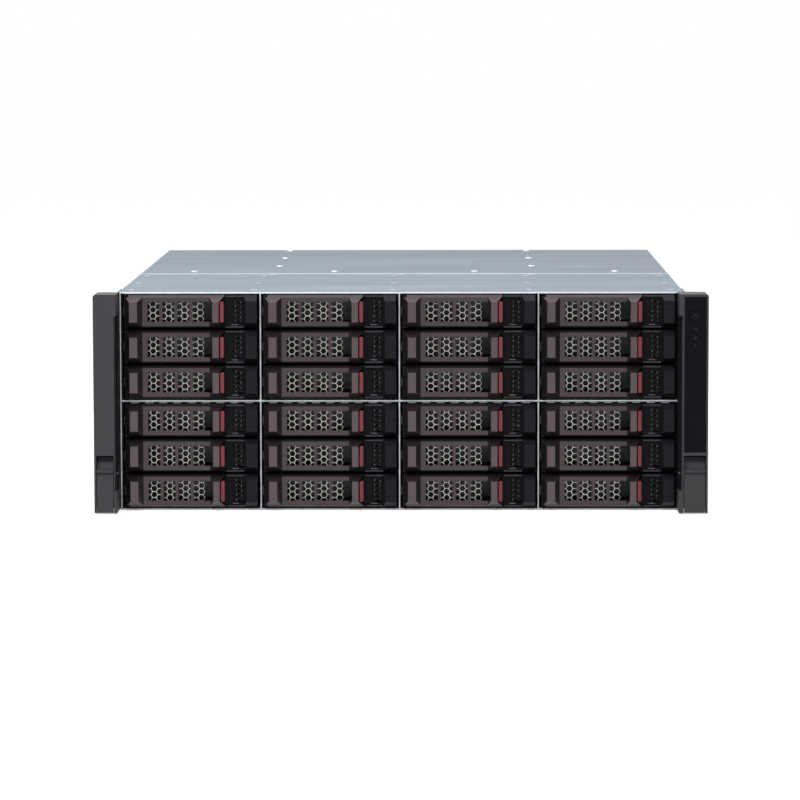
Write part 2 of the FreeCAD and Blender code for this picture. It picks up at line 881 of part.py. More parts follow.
# ---------------------------------------------------------------- rack ears
def ear_bracket(side):
    """A steel angle: the flange meets the rack's post, and the leg lies on the chassis' side."""
    flange = block((side * half_width, side * ear_half), (-bracket_thickness, 0), (ear_bottom, ear_top))
    leg_x = around(side * (half_width + bracket_thickness / 2), bracket_thickness)
    leg = block(leg_x, (-bracket_thickness, bracket_leg), (ear_bottom, ear_top))
    x = side * rack_hole_place
    y = through(-bracket_thickness, 0)
    hole_radius = rack_screw_radius + rack_screw_clearance
    hole = rod(hole_radius, (x, y[0], rack_screw_height), (x, y[1], rack_screw_height))
    return cut(joined([flange, leg]), [hole])


def ear_outline(side, inner):
    """The ear's (x, z) front outline, with a step on its inner edge."""
    step = ear_step
    return [
        (side * ear_half, ear_bottom),
        (side * ear_half, ear_top - ear_corner),
        (side * (ear_half - ear_corner), ear_top),
        (side * inner, ear_top),
        (side * inner, ear_top - ear_step_drop),
        (side * (inner + step), ear_top - ear_step_drop),
        (side * (inner + step), ear_bottom + ear_step_drop),
        (side * inner, ear_bottom + ear_step_drop),
        (side * inner, ear_bottom),
    ]


def latch_span(side):
    """x of the latch's outer and inner side."""
    inner = right_latch_inner if side > 0 else left_latch_inner
    return side * (ear_half - latch_outer_wall - latch_side_gap), side * inner


def ear_cover(side, inner):
    """A plastic housing in front of the bracket, and the cutters for its open back and the latch's bay."""
    back = -bracket_thickness
    outline = [FreeCAD.Vector(px, ear_front, pz) for px, pz in ear_outline(side, inner)]
    shell = prism(outline, (0, back - ear_front, 0))
    hollow_x = (side * (ear_half - ear_wall), side * (inner + ear_step + ear_wall))
    hollow_z = (ear_bottom + ear_wall, ear_top - ear_wall)
    hollow = block(hollow_x, (ear_front + ear_wall, back + past), hollow_z)
    outer, inner_side = latch_span(side)
    bay_x = (outer + side * latch_side_gap, inner_side - side * latch_side_gap)
    bay = block(bay_x, (ear_front - past, back + past), (ear_bottom - past, latch_opening_top))
    pin_reach = latch_side_gap + latch_pin_seat
    pin_ends = (outer + side * pin_reach, inner_side - side * pin_reach)
    pin = rod(
        latch_pin_radius + running_clearance,
        (pin_ends[0], latch_pivot_y, latch_pivot_z),
        (pin_ends[1], latch_pivot_y, latch_pivot_z),
    )
    return shell, [hollow, bay, pin]


def left_ear_cover():
    shell, tools = ear_cover(-1, ear_left_inner)
    return cut(shell, tools)


def control_panel_edges():
    """(x, z) edges of the panel let into the right ear."""
    x = (ear_right_inner + ear_step + panel_inset_inner, ear_half - panel_inset_outer)
    z = (latch_opening_top + panel_inset_bottom, ear_top - panel_inset_top)
    return x, z


def power_button_edges(grow=0.0):
    (left, right), (_, top) = control_panel_edges()
    middle_x = (left + right) / 2
    middle_z = top - power_button_drop
    half = power_button_size / 2 + grow
    return (middle_x - half, middle_x + half), (middle_z - half, middle_z + half)


def right_ear_cover():
    shell, tools = ear_cover(1, ear_right_inner)
    x, z = control_panel_edges()
    recess = block(x, (ear_front - past, ear_front + panel_plate), z)
    bx, bz = power_button_edges(power_button_gap)
    button_hole = block(bx, (ear_front - past, ear_front + ear_depth / 2), bz)
    return cut(shell, [*tools, recess, button_hole])


def control_panel():
    """The plate let into the right ear, with a square hole for the power button."""
    x, z = control_panel_edges()
    plate = block(x, (ear_front, ear_front + panel_plate), z)
    bx, bz = power_button_edges(power_button_gap)
    return cut(plate, [block(bx, (ear_front - past, ear_front + panel_plate + past), bz)])


def power_button():
    """The power button, with a collar behind the plate that keeps it in."""
    bx, bz = power_button_edges()
    return block(bx, (ear_front + power_button_set_back, ear_front + power_button_length), bz)


def ear_latch(side):
    """The flap over the rack screw: a lip, a curved finger hollow above it, and a pivot at the foot."""
    outer, inner_side = latch_span(side)
    front = ear_front + latch_set_back
    foot = ear_bottom + latch_foot_gap
    lip = ear_bottom + latch_lip_height
    top = latch_opening_top - latch_top_gap
    scoop_middle = FreeCAD.Vector(outer, ear_front + latch_scoop_depth / 3, lip + latch_scoop_height / 2)
    lip_edge = FreeCAD.Vector(outer, ear_front - latch_lip, lip)
    scoop_top = FreeCAD.Vector(outer, ear_front + latch_scoop_depth, lip + latch_scoop_height)
    scoop = Part.Arc(lip_edge, scoop_middle, scoop_top).toShape()
    back = front + latch_thickness
    outline = [
        scoop_top,
        FreeCAD.Vector(outer, scoop_top.y + latch_thickness, top),
        FreeCAD.Vector(outer, scoop_top.y + latch_thickness, scoop_top.z - latch_thickness),
        FreeCAD.Vector(outer, back, lip + latch_lip),
        FreeCAD.Vector(outer, back, latch_pivot_z + latch_boss),
        FreeCAD.Vector(outer, latch_pivot_y + latch_boss, latch_pivot_z + latch_boss),
        FreeCAD.Vector(outer, latch_pivot_y + latch_boss, latch_pivot_z - latch_boss),
        FreeCAD.Vector(outer, back, foot),
        FreeCAD.Vector(outer, front, foot),
        FreeCAD.Vector(outer, front, lip - latch_lip),
        lip_edge,
    ]
    wire = Part.Wire([scoop, *Part.makePolygon(outline).Edges])
    flap = Part.Face(wire).extrude(FreeCAD.Vector(inner_side - outer, 0, 0))
    reach = latch_side_gap + latch_pin_seat - latch_pin_end_gap
    pin = rod(
        latch_pin_radius,
        (outer + side * reach, latch_pivot_y, latch_pivot_z),
        (inner_side - side * reach, latch_pivot_y, latch_pivot_z),
    )
    return joined([flap, pin])


def rack_screw(side):
    """The captive screw behind the latch: a flat-sided head and a shank through the flange."""
    x, z = side * rack_hole_place, rack_screw_height
    head_back = -bracket_thickness
    head_front = head_back - rack_screw_head_length
    head = faceted_rod(screw_sides, rack_screw_head_radius, (x, head_front, z), (x, head_back, z))
    shank = rod(rack_screw_radius, (x, head_back, z), (x, rack_screw_length, z))
    return joined([head, shank])


# ---------------------------------------------------------------- rear modules
def module_floor(level):
    return sheet + bay_sheet + level * (bay_slot_height + bay_sheet) + seat_gap


def rear_bay_frame():
    """Sheet shelves and partitions that guide the power supplies and the interface modules."""
    y = (bay_front, chassis_depth)
    solids = []
    for level in range(3):
        low = sheet + level * (bay_slot_height + bay_sheet)
        solids.append(block((bay_left, bay_right), y, (low, low + bay_sheet)))
        if level < 2:
            for x in (bay_left, psu_slot_left + psu_slot_width, bay_right - bay_sheet):
                z = (low + bay_sheet, low + bay_sheet + bay_slot_height)
                solids.append(block((x, x + bay_sheet), y, z))
    return solids


def pull_handle(middle, z_middle, width, height):
    """A square loop standing off the face plate."""
    outer = block(around(middle, width), (face_rear, face_rear + handle_reach), around(z_middle, height))
    gap_y = (face_rear - past, face_rear + handle_reach - handle_bar)
    gap = block(around(middle, width - 2 * handle_bar), gap_y, around(z_middle, height + 2 * past))
    return cut(outer, [gap])


def psu_latch_pin():
    """x and y of the release tab's pin."""
    return psu_slot_left + bay_gap + psu_width - psu_latch_inset, face_rear - psu_latch_pin_depth


def power_supply(level):
    """A power supply: a closed case, a face with a mains inlet, a fan mouth and a pull handle."""
    left = psu_slot_left + bay_gap
    floor = module_floor(level)
    middle = floor + module_height / 2
    case_y = (rear_face - psu_length, face_rear)
    case = block((left, left + psu_width), case_y, (floor, floor + module_height))
    grip_middle = left + psu_margin / 2 + psu_handle_width / 2
    grip = pull_handle(grip_middle, floor + psu_handle_rise, psu_handle_width, psu_handle_height)
    inlet_left = left + psu_margin
    inlet_x = (inlet_left, inlet_left + inlet_width)
    inlet_z = (floor + psu_margin, floor + psu_margin + inlet_height)
    inlet = block(inlet_x, (face_rear - inlet_depth, face_rear + past), inlet_z)
    fan_x = inlet_x[1] + psu_margin + psu_fan_radius
    fan_z = floor + psu_margin / 2 + psu_fan_radius
    fan = rod(psu_fan_radius, (fan_x, face_rear - psu_fan_depth, fan_z), (fan_x, face_rear + past, fan_z))
    pin_x, pin_y = psu_latch_pin()
    room = psu_latch_pin_radius + psu_latch_wall + psu_latch_play
    bay_z = around(middle, psu_latch_height + 2 * psu_latch_play)
    bay = block(around(pin_x, 2 * room), (pin_y - room, face_rear + past), bay_z)
    pin_z = through(*bay_z)
    pin = rod(psu_latch_pin_radius, (pin_x, pin_y, pin_z[0]), (pin_x, pin_y, pin_z[1]))
    body = cut(joined([case, grip]), [inlet, fan, bay])
    return joined([body, pin])


def psu_latch(level):
    """The release tab that swings on an upright pin."""
    pin_x, pin_y = psu_latch_pin()
    z = around(module_floor(level) + module_height / 2, psu_latch_height)
    tab = block(around(pin_x, psu_latch_width), (pin_y, face_rear + psu_latch_reach), z)
    eye = rod(psu_latch_pin_radius + psu_latch_wall, (pin_x, pin_y, z[0]), (pin_x, pin_y, z[1]))
    bore_z = through(*z)
    bore_radius = psu_latch_pin_radius + running_clearance
    bore = rod(bore_radius, (pin_x, pin_y, bore_z[0]), (pin_x, pin_y, bore_z[1]))
    return cut(joined([tab, eye]), [bore])


def interface_module(level):
    """An interface module: a tray, its board, the port cages and a face plate on the rear wall."""
    left = module_slot_left + bay_gap
    right = left + module_width
    floor = module_floor(level)
    front = rear_face - module_length
    side_top = floor + module_side_height
    base = block((left, right), (front, rear_face), (floor, floor + module_sheet))
    sides = [
        block((x, x + module_sheet), (front, rear_face), (floor, side_top))
        for x in (left, right - module_sheet)
    ]
    front_wall = block((left, right), (front, front + module_sheet), (floor, side_top))
    board_low = floor + board_rise
    board_x = (left + module_sheet, right - module_sheet)
    board = block(board_x, (front, rear_face), (board_low, board_low + board_thickness))
    face_x = (left - bay_gap - face_lap / 2, right + bay_gap + face_lap / 2)
    face_z = (floor - seat_gap, floor + module_height + bay_gap + bay_sheet / 2)
    face = block(face_x, (rear_face, face_rear), face_z)
    port_low = board_low + board_thickness
    cages = []
    mouths = []
    wall = module_sheet
    for n in range(port_count):
        x = around(left + port_start + n * port_pitch, port_width)
        cage_y = (rear_face - port_depth - wall, rear_face)
        cage_z = (port_low, port_low + port_height + 2 * wall)
        cages.append(block((x[0] - wall, x[1] + wall), cage_y, cage_z))
        mouth_y = (rear_face - port_depth, face_rear + past)
        mouths.append(block(x, mouth_y, (cage_z[0] + wall, cage_z[1] - wall)))
    grip_middle = right - module_handle_inset - module_handle_width / 2
    grip = pull_handle(grip_middle, floor + module_height / 2, module_handle_width, module_handle_height)
    return cut(joined([base, *sides, front_wall, board, face, *cages, grip]), mouths)


# ---------------------------------------------------------------- writing the nodes
def save(name, solids):
    """Writes one node: its solids, moved so that the origin lies under the shelf's middle."""
    solids = solids if isinstance(solids, list) else [solids]
    placed = [moved(s, to_origin.x, to_origin.y, to_origin.z) for s in solids]
    shape = placed[0] if len(placed) == 1 else Part.makeCompound(placed)
    shape.exportStep(os.path.join("parts", name + ".step"))


def save_carriers():
    """Top row: tray, handle and button are nodes of their own. The other rows: one node for each carrier."""
    full = [tray(), grille(), hinge_pin(), drive()]
    plain = [plain_tray(), plain_grille(), plain_handle(), button_cap(base_front), drive()]
    swinging = handle()
    pressed = release_button()
    for row in range(decks * rows_per_deck):
        for column in range(columns):
            to_slot = (slot_middle(column), 0, row_middle(row))
            place = f"r{row + 1}c{column + 1}"
            if row == 0:
                save("carrier_" + place, [moved(one, *to_slot) for one in full])
                save("handle_" + place, moved(swinging, *to_slot))
                save("button_" + place, moved(pressed, *to_slot))
            else:
                save("carrier_" + place, [moved(one, *to_slot) for one in plain])


def main():
    os.makedirs("parts", exist_ok=True)
    save("chassis_tub", chassis_tub())
    save("rear_panel", rear_panel())
    save("front_top_cover", front_top_cover())
    save("rear_lid", rear_lid())
    save("lid_screws", lid_screws())
    save("cage_shelf", cage_shelf())
    save("cage_dividers", [*cage_dividers(), *cage_sides()])
    save("backplane", backplane())
    save("drive_connectors", drive_connectors())
    save("fan_wall", fan_wall())
    save("fan_frames", [fan_frame(n) for n in range(fan_count)])
    for n in range(fan_count):
        save(f"fan_rotor_{n + 1}", fan_rotor(n))
    save("ear_brackets", [ear_bracket(-1), ear_bracket(1)])
    save("ear_covers", [left_ear_cover(), right_ear_cover()])
    save("control_panel", control_panel())
    save("power_button", power_button())
    save("left_ear_latch", ear_latch(-1))
    save("right_ear_latch", ear_latch(1))
    save("rack_screws", [rack_screw(-1), rack_screw(1)])
    save("rear_bay_frame", rear_bay_frame())
    for level in range(2):
        save(f"power_supply_{level + 1}", power_supply(level))
        save(f"psu_latch_{level + 1}", psu_latch(level))
        save(f"interface_module_{level + 1}", interface_module(level))
    save_carriers()


main()
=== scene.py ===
import math

import bmesh
import bpy
from bpy.props import FloatProperty, FloatVectorProperty, IntProperty, PointerProperty
from mathutils import Matrix, Vector


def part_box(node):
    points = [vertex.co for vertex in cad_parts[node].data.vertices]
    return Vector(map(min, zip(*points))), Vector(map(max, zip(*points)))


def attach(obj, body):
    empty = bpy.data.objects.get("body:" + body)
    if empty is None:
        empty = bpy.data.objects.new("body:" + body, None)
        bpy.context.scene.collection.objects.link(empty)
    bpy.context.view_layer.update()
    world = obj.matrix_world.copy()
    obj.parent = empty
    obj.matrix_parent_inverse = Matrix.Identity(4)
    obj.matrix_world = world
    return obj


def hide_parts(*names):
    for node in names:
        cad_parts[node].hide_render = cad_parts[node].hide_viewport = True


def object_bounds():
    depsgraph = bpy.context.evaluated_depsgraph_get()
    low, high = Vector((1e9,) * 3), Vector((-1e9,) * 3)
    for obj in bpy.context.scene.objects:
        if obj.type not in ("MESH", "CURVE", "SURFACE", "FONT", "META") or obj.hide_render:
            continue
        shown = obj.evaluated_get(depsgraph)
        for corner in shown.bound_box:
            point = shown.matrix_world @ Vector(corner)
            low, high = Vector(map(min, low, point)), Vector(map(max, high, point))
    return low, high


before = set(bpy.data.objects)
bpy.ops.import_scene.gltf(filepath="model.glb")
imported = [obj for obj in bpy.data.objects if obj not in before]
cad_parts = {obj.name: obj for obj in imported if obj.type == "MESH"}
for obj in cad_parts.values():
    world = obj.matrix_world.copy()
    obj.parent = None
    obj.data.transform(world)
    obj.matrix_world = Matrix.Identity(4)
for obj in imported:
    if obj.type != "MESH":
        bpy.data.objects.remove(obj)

bl_info = {
    "name": "Rack disk shelf",
    "version": (1, 0, 0),
    "blender": (4, 5, 0),
    "location": "View3D > Sidebar > Disk shelf",
    "description": "Dresses the solids of a rack disk shelf with its carriers, sheet metal, ears and rear modules",
    "category": "Object",
}

MM = 0.001
BOX_AT_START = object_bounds()
ROWS, COLUMNS = 6, 4
SLOTS = [(row, column) for row in range(1, ROWS + 1) for column in range(1, COLUMNS + 1)]

# ---------------------------------- where things are, in millimetres
def node_box(node):
    """Lowest and highest corner of a solid."""
    low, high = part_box(node)
    return low / MM, high / MM


def span(middle, half):
    """Two values at the same distance from a middle."""
    return middle - half, middle + half


def off(start, *steps):
    """Values at steps from a start."""
    return tuple(start + step for step in steps)


TRAY_LOW, TRAY_HIGH = node_box("carrier_r1c1")
HANDLE_LOW, HANDLE_HIGH = node_box("handle_r1c1")
COVER_LOW, COVER_HIGH = node_box("front_top_cover")
LID_LOW, LID_HIGH = node_box("rear_lid")
TUB_LOW, TUB_HIGH = node_box("chassis_tub")
EAR_LOW, EAR_HIGH = node_box("ear_covers")
PANEL_LOW, PANEL_HIGH = node_box("control_panel")
POWER_LOW, POWER_HIGH = node_box("power_button")
CAGE_RIGHT = node_box("cage_dividers")[1].x
FRONT = TUB_LOW.y                     # the chassis' front edge
REAR = TUB_HIGH.y
TOP = COVER_HIGH.z
SHEET = 1.2                           # the covers' thickness
HALF_TRAY = (TRAY_HIGH.x - TRAY_LOW.x) / 2
HALF_SLOT = (TRAY_HIGH.z - TRAY_LOW.z) / 2
HALF_FACE = (HANDLE_HIGH.z - HANDLE_LOW.z) / 2
FACE_LEFT = HANDLE_LOW.x - TRAY_LOW.x - HALF_TRAY
HANDLE_LENGTH = HANDLE_HIGH.x - HANDLE_LOW.x
RIB_FRONT = HANDLE_LOW.y - FRONT
HANDLE_BACK = -1.0
PANEL_FRONT = -4.0
BASE_FRONT = -0.5
BASE_BACK = 3.0
TRAY_REAR = TRAY_HIGH.y - FRONT
DRAFT = 0.6                           # slope of the moulded tops and bottoms


def slot_place(row, column):
    """Middle of a carrier's slot on the plane of the chassis' front edge."""
    low, high = node_box(f"carrier_r{row}c{column}")
    return Vector(((low.x + high.x) / 2, FRONT, high.z - HALF_SLOT))


def along(distance):
    """x on a carrier's face, from the handle's left end."""
    return FACE_LEFT + distance


def face_span(start, end):
    return along(start), along(end)


# ---------------------------------- what a user would change
def swatch(name, description, default):
    return FloatVectorProperty(name=name, description=description, size=3, min=0, max=1, default=default,
                               subtype="COLOR")


def length(name, description, millimetres):
    return FloatProperty(name=name, description=description, default=millimetres * MM, subtype="DISTANCE")


def power(name, description, watts):
    return FloatProperty(name=name, description=description, min=0, default=watts, unit="POWER")


class SheetLook(bpy.types.PropertyGroup):
    """Finish of the chassis' sheet steel."""
    zinc: swatch("Zinc", "Colour of the galvanised sheet", (0.245, 0.287, 0.333))
    # painted highlight: a light colour on the hems stands in for the light along the sheet's front edges
    edge: swatch("Edge highlight", "Colour of the sheet's bright edges", (0.68, 0.72, 0.755))
    roughness: FloatProperty(name="Roughness", description="How matt the sheet is", min=0, max=1, default=0.55,
                             subtype="FACTOR")
    rivet_radius: length("Rivet radius", "Radius of a rivet's head", 2.6)


class CarrierLook(bpy.types.PropertyGroup):
    """Sizes and colours of the drive carriers."""
    bronze: swatch("Handle", "Colour of the handle's paint", (0.062, 0.049, 0.052))
    black: swatch("Base", "Colour of the black moulding", (0.0042, 0.0043, 0.0056))
    red: swatch("Button", "Colour of the release button", (0.235, 0.046, 0.060))
    mesh_steel: swatch("Grille", "Colour of the honeycomb grille", (0.52, 0.505, 0.465))
    edge_radius: length("Edge rounding", "Rounding of the handle's edges", 0.42)
    cell_height: length("Cell height", "Pitch of the honeycomb's cells from top to bottom", 4.82)
    cell_wall: length("Cell wall", "Width of the honeycomb's webs", 0.54)
    windows: IntProperty(name="Windows", description="Number of windows in a handle", min=1, max=6, default=4)


class EarLook(bpy.types.PropertyGroup):
    """Sizes and colours of the rack ears."""
    plastic: swatch("Ear", "Colour of the ears' plastic", (0.038, 0.0375, 0.0425))
    panel: swatch("Panel", "Colour of the control panel", (0.0050, 0.0046, 0.0066))
    edge_radius: length("Edge rounding", "Rounding of the ears' edges", 0.7)


class RearLook(bpy.types.PropertyGroup):
    """Colours of the modules and boards at the back, and the fans' blades."""
    zinc: swatch("Module", "Colour of the modules' sheet", (0.52, 0.55, 0.58))
    board: swatch("Board", "Colour of the circuit boards", (0.012, 0.085, 0.04))
    touch: swatch("Release tab", "Colour of the release tabs", (0.04, 0.12, 0.32))
    blades: IntProperty(name="Fan blades", description="Number of blades on a rotor", min=3, max=11, default=7)


class StageLook(bpy.types.PropertyGroup):
    """Floor, light and camera."""
    floor: swatch("Floor", "Colour of the floor", (0.93, 0.93, 0.93))
    sky: FloatProperty(name="Sky", description="Strength of the light from all round", min=0, default=0.42)
    overhead: power("Overhead lamp", "Power of the lamp over the shelf", 6.0)
    front: power("Front lamp", "Power of the lamp in front of the shelf", 30.0)
    lens: FloatProperty(name="Lens", description="Focal length of the camera in millimetres", min=1, default=176.1)


LOOKS = {"sheet": SheetLook, "carrier": CarrierLook, "ear": EarLook, "rear": RearLook, "stage": StageLook}


def look(name):
    return getattr(bpy.context.scene, "shelf_" + name)


# ---------------------------------- modelling helpers
def scaled(values):
    """Millimetres as metres."""
    return [v * MM for v in values]


def activate(piece):
    bpy.ops.object.select_all(action="DESELECT")
    piece.select_set(True)
    bpy.context.view_layer.objects.active = piece


def freeze(name):
    """Gives a new primitive its name and moves its place and size into its mesh."""
    piece = bpy.context.object
    piece.name = name
    activate(piece)
    bpy.ops.object.transform_apply(location=True, rotation=True, scale=True)
    return piece


def add_box(name, x, y, z):
    """A box between two values on each axis, in millimetres."""
    middle = [sum(pair) / 2 * MM for pair in (x, y, z)]
    size = [abs(pair[1] - pair[0]) * MM for pair in (x, y, z)]
    bpy.ops.object.select_all(action="DESELECT")
    bpy.ops.mesh.primitive_cube_add(size=1, location=middle, scale=size)
    return freeze(name)


TURNS = {"X": (0, math.pi / 2, 0), "Y": (math.pi / 2, 0, 0), "Z": (0, 0, 0)}


def add_rod(name, middle, radius, length, axis="Z", sides=24):
    """A round bar around a middle point, in millimetres."""
    bpy.ops.object.select_all(action="DESELECT")
    bpy.ops.mesh.primitive_cylinder_add(radius=radius * MM, depth=length * MM, vertices=sides,
                                        location=scaled(middle), rotation=TURNS[axis])
    return freeze(name)


def add_ring(name, middle, major, minor, sides):
    """A ring of wire about the y axis, in millimetres."""
    bpy.ops.object.select_all(action="DESELECT")
    bpy.ops.mesh.primitive_torus_add(location=scaled(middle), rotation=TURNS["Y"], major_segments=sides,
                                     minor_segments=6, major_radius=major * MM, minor_radius=minor * MM)
    return freeze(name)


def edit(piece):
    activate(piece)
    bpy.ops.object.mode_set(mode="EDIT")


def done():
    bpy.ops.object.mode_set(mode="OBJECT")


def pick(piece, kind, test):
    """In edit mode, selects the vertices, edges or faces that pass a test of their middle, in millimetres, and of
    their normal or, for an edge, its direction."""
    bpy.ops.mesh.select_mode(type=kind)
    bpy.ops.mesh.select_all(action="DESELECT")
    mesh = bmesh.from_edit_mesh(piece.data)
    found = 0
    for item in {"VERT": mesh.verts, "EDGE": mesh.edges, "FACE": mesh.faces}[kind]:
        if kind == "VERT":
            middle, normal = item.co, item.normal
        elif kind == "EDGE":
            start, end = (vertex.co for vertex in item.verts)
            middle, normal = (start + end) / 2, (end - start).normalized()
        else:
            middle, normal = item.calc_center_median(), item.normal
        if test(middle / MM, normal):
            item.select_set(True)
            found += 1
    mesh.select_flush_mode()
    bmesh.update_edit_mesh(piece.data)
    if not found:
        raise RuntimeError(f"nothing to select on {piece.name}")


def facing(axis, sign=1):
    """A test for the faces that look along an axis."""
    return lambda at, normal: sign * normal[axis] > 0.9


def running(axis):
    """A test for the edges that run along an axis."""
    return lambda at, line: abs(line[axis]) > 0.9


def shift(vector):
    """In edit mode, moves what is selected, in millimetres."""
    bpy.ops.transform.translate(value=scaled(vector))


def nudge(piece, kind, test, vector):
    """Moves what passes a test, in millimetres."""
    edit(piece)
    pick(piece, kind, test)
    shift(vector)
    done()


def bevel(piece, test, width, segments):
    """Bevels the edges that pass a test; the width is in millimetres."""
    edit(piece)
    pick(piece, "EDGE", test)
    bpy.ops.mesh.bevel(offset=width * MM, segments=segments, affect="EDGES")
    done()


def sink(piece, test, *steps):
    """Insets the faces that pass a test and moves them, once for each width and move, in millimetres."""
    edit(piece)
    pick(piece, "FACE", test)
    for width, vector in steps:
        bpy.ops.mesh.inset(thickness=width * MM)
        shift(vector)
    done()


def slice_at(piece, axis, places):
    """Cuts new edge loops across a piece at places along an axis."""
    normal = [1.0 if k == axis else 0.0 for k in range(3)]
    edit(piece)
    for place in places:
        bpy.ops.mesh.select_all(action="SELECT")
        bpy.ops.mesh.bisect(plane_co=[place * MM * n for n in normal], plane_no=normal)
    done()


def clip(piece, *planes):
    """Cuts away what lies beyond each plane, given as a point and a normal, and closes the cuts."""
    edit(piece)
    for point, normal in planes:
        bpy.ops.mesh.select_all(action="SELECT")
        bpy.ops.mesh.bisect(plane_co=scaled(point), plane_no=Vector(normal).normalized(), use_fill=True,
                            clear_outer=True)
    done()


def apply_modifier(piece, kind, **settings):
    activate(piece)
    modifier = piece.modifiers.new(kind.title(), kind)
    for key, value in settings.items():
        setattr(modifier, key, value)
    bpy.ops.object.modifier_apply(modifier=modifier.name)


def carve(piece, cutters):
    """Takes the cutters' space out of a piece."""
    cutter = merge(cutters, "cutter")
    apply_modifier(piece, "BOOLEAN", operation="DIFFERENCE", solver="EXACT", object=cutter, use_self=True)
    drop(cutter)
    return piece


def merge(pieces, name):
    """Several pieces as one object."""
    activate(pieces[0])
    for piece in pieces:
        piece.select_set(True)
    if len(pieces) > 1:
        bpy.ops.object.join()
    pieces[0].name = name
    return pieces[0]


def round_edges(piece, width, segments=2, angle=28, soft=True):
    """Rounds the edges between faces that meet at more than an angle; the width is in metres."""
    apply_modifier(piece, "BEVEL", width=width, segments=segments, limit_method="ANGLE",
                   angle_limit=math.radians(angle), harden_normals=False)
    if soft:
        smooth(piece, angle)
    return piece


def smooth(piece, angle):
    """Smooths a piece's rounded edges and keeps its large faces flat."""
    activate(piece)
    bpy.ops.object.shade_smooth_by_angle(angle=math.radians(angle))
    apply_modifier(piece, "WEIGHTED_NORMAL", keep_sharp=True, weight=80)


def rounded_box(name, x, y, z, radius, segments=2):
    return round_edges(add_box(name, x, y, z), radius * MM, segments)


def finish(piece, material, body, slot, *replaced):
    """Gives a piece its material and body, and the solids it stands for; the slot is not used."""
    piece.data.materials.clear()
    piece.data.materials.append(MATERIALS[material])
    for face in piece.data.polygons:
        face.material_index = 0
    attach(piece, body)
    if replaced:
        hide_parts(*replaced)
    return piece


def put(pieces, name, material, body, slot, *replaced):
    """Joins pieces into one finished piece."""
    return finish(merge(pieces, name), material, body, slot, *replaced)


def placed_copy(master, name, offset, turn=None):
    """A copy with a mesh of its own, turned by a matrix and moved by an offset in millimetres."""
    mesh = master.data.copy()
    if turn is not None:
        mesh.transform(turn)
    mesh.transform(Matrix.Translation(Vector(offset) * MM))
    piece = bpy.data.objects.new(name, mesh)
    bpy.context.scene.collection.objects.link(piece)
    return piece


def drop(piece):
    bpy.data.objects.remove(piece)


def spread(master, places, name, turn=None):
    """Copies of a small piece in many places, as one object."""
    copies = [placed_copy(master, name, place, turn) for place in places]
    drop(master)
    return merge(copies, name)


# ---------------------------------- materials
WHITE = (1, 1, 1, 1)


def add_node(tree, kind, **values):
    """A new node with values on its sockets; an underscore stands for the space in a socket's name."""
    node = tree.nodes.new(kind)
    for key, value in values.items():
        node.inputs[key.replace("_", " ")].default_value = value
    return node


def new_material(name, color, roughness, metallic=0.0, specular=0.5):
    """A material whose even values sit on the shader's own sockets."""
    material = bpy.data.materials.new(name)
    material.use_nodes = True
    inputs = material.node_tree.nodes["Principled BSDF"].inputs
    inputs["Base Color"].default_value = (*color, 1)
    inputs["Roughness"].default_value = roughness
    inputs["Metallic"].default_value = metallic
    inputs["Specular IOR Level"].default_value = specular
    return material


def coordinates(tree, stretch=(1, 1, 1)):
    place = add_node(tree, "ShaderNodeTexCoord")
    mapping = add_node(tree, "ShaderNodeMapping", Scale=stretch)
    tree.links.new(place.outputs["Object"], mapping.inputs["Vector"])
    return mapping.outputs["Vector"]


def noise(tree, scale, detail, stretch=(1, 1, 1)):
    texture = add_node(tree, "ShaderNodeTexNoise", Scale=scale, Detail=detail, Roughness=0.55)
    tree.links.new(coordinates(tree, stretch), texture.inputs["Vector"])
    return texture.outputs["Fac"]


def vary_color(tree, factor, dark, light, low=0.35, high=0.65):
    """Colours a surface between two colours by a texture."""
    ramp = add_node(tree, "ShaderNodeValToRGB")
    for element, color, position in zip(ramp.color_ramp.elements, (dark, light), (low, high)):
        element.position = position
        element.color = (*color, 1)
    tree.links.new(factor, ramp.inputs["Fac"])
    tree.links.new(ramp.outputs["Color"], tree.nodes["Principled BSDF"].inputs["Base Color"])


def vary_roughness(tree, factor, low, high):
    values = add_node(tree, "ShaderNodeMapRange", To_Min=low, To_Max=high)
    tree.links.new(factor, values.inputs["Value"])
    tree.links.new(values.outputs["Result"], tree.nodes["Principled BSDF"].inputs["Roughness"])


def paint_depth_shade(tree, back, front, low, high):
    """Paints shade and light into a surface's colour: multiplies it by a share that runs from one plane of y, in
    millimetres, to another.
    """
    base = tree.nodes["Principled BSDF"].inputs["Base Color"]
    split = add_node(tree, "ShaderNodeSeparateXYZ")
    tree.links.new(coordinates(tree), split.inputs["Vector"])
    share = add_node(tree, "ShaderNodeMapRange", From_Min=back * MM, From_Max=front * MM, To_Min=low, To_Max=high)
    tree.links.new(split.outputs["Y"], share.inputs["Value"])
    product = add_node(tree, "ShaderNodeVectorMath")
    product.operation = "SCALE"
    tree.links.new(base.links[0].from_socket, product.inputs["Vector"])
    tree.links.new(share.outputs["Result"], product.inputs["Scale"])
    tree.links.new(product.outputs["Vector"], base)


def add_bump(tree, factor, height, strength):
    bump = add_node(tree, "ShaderNodeBump", Strength=strength, Distance=height)
    tree.links.new(factor, bump.inputs["Height"])
    tree.links.new(bump.outputs["Normal"], tree.nodes["Principled BSDF"].inputs["Normal"])


def tones(color, *shares):
    """A colour darkened or lightened by shares."""
    return [tuple(min(1.0, c * share) for c in color) for share in shares]


MATERIALS = {}


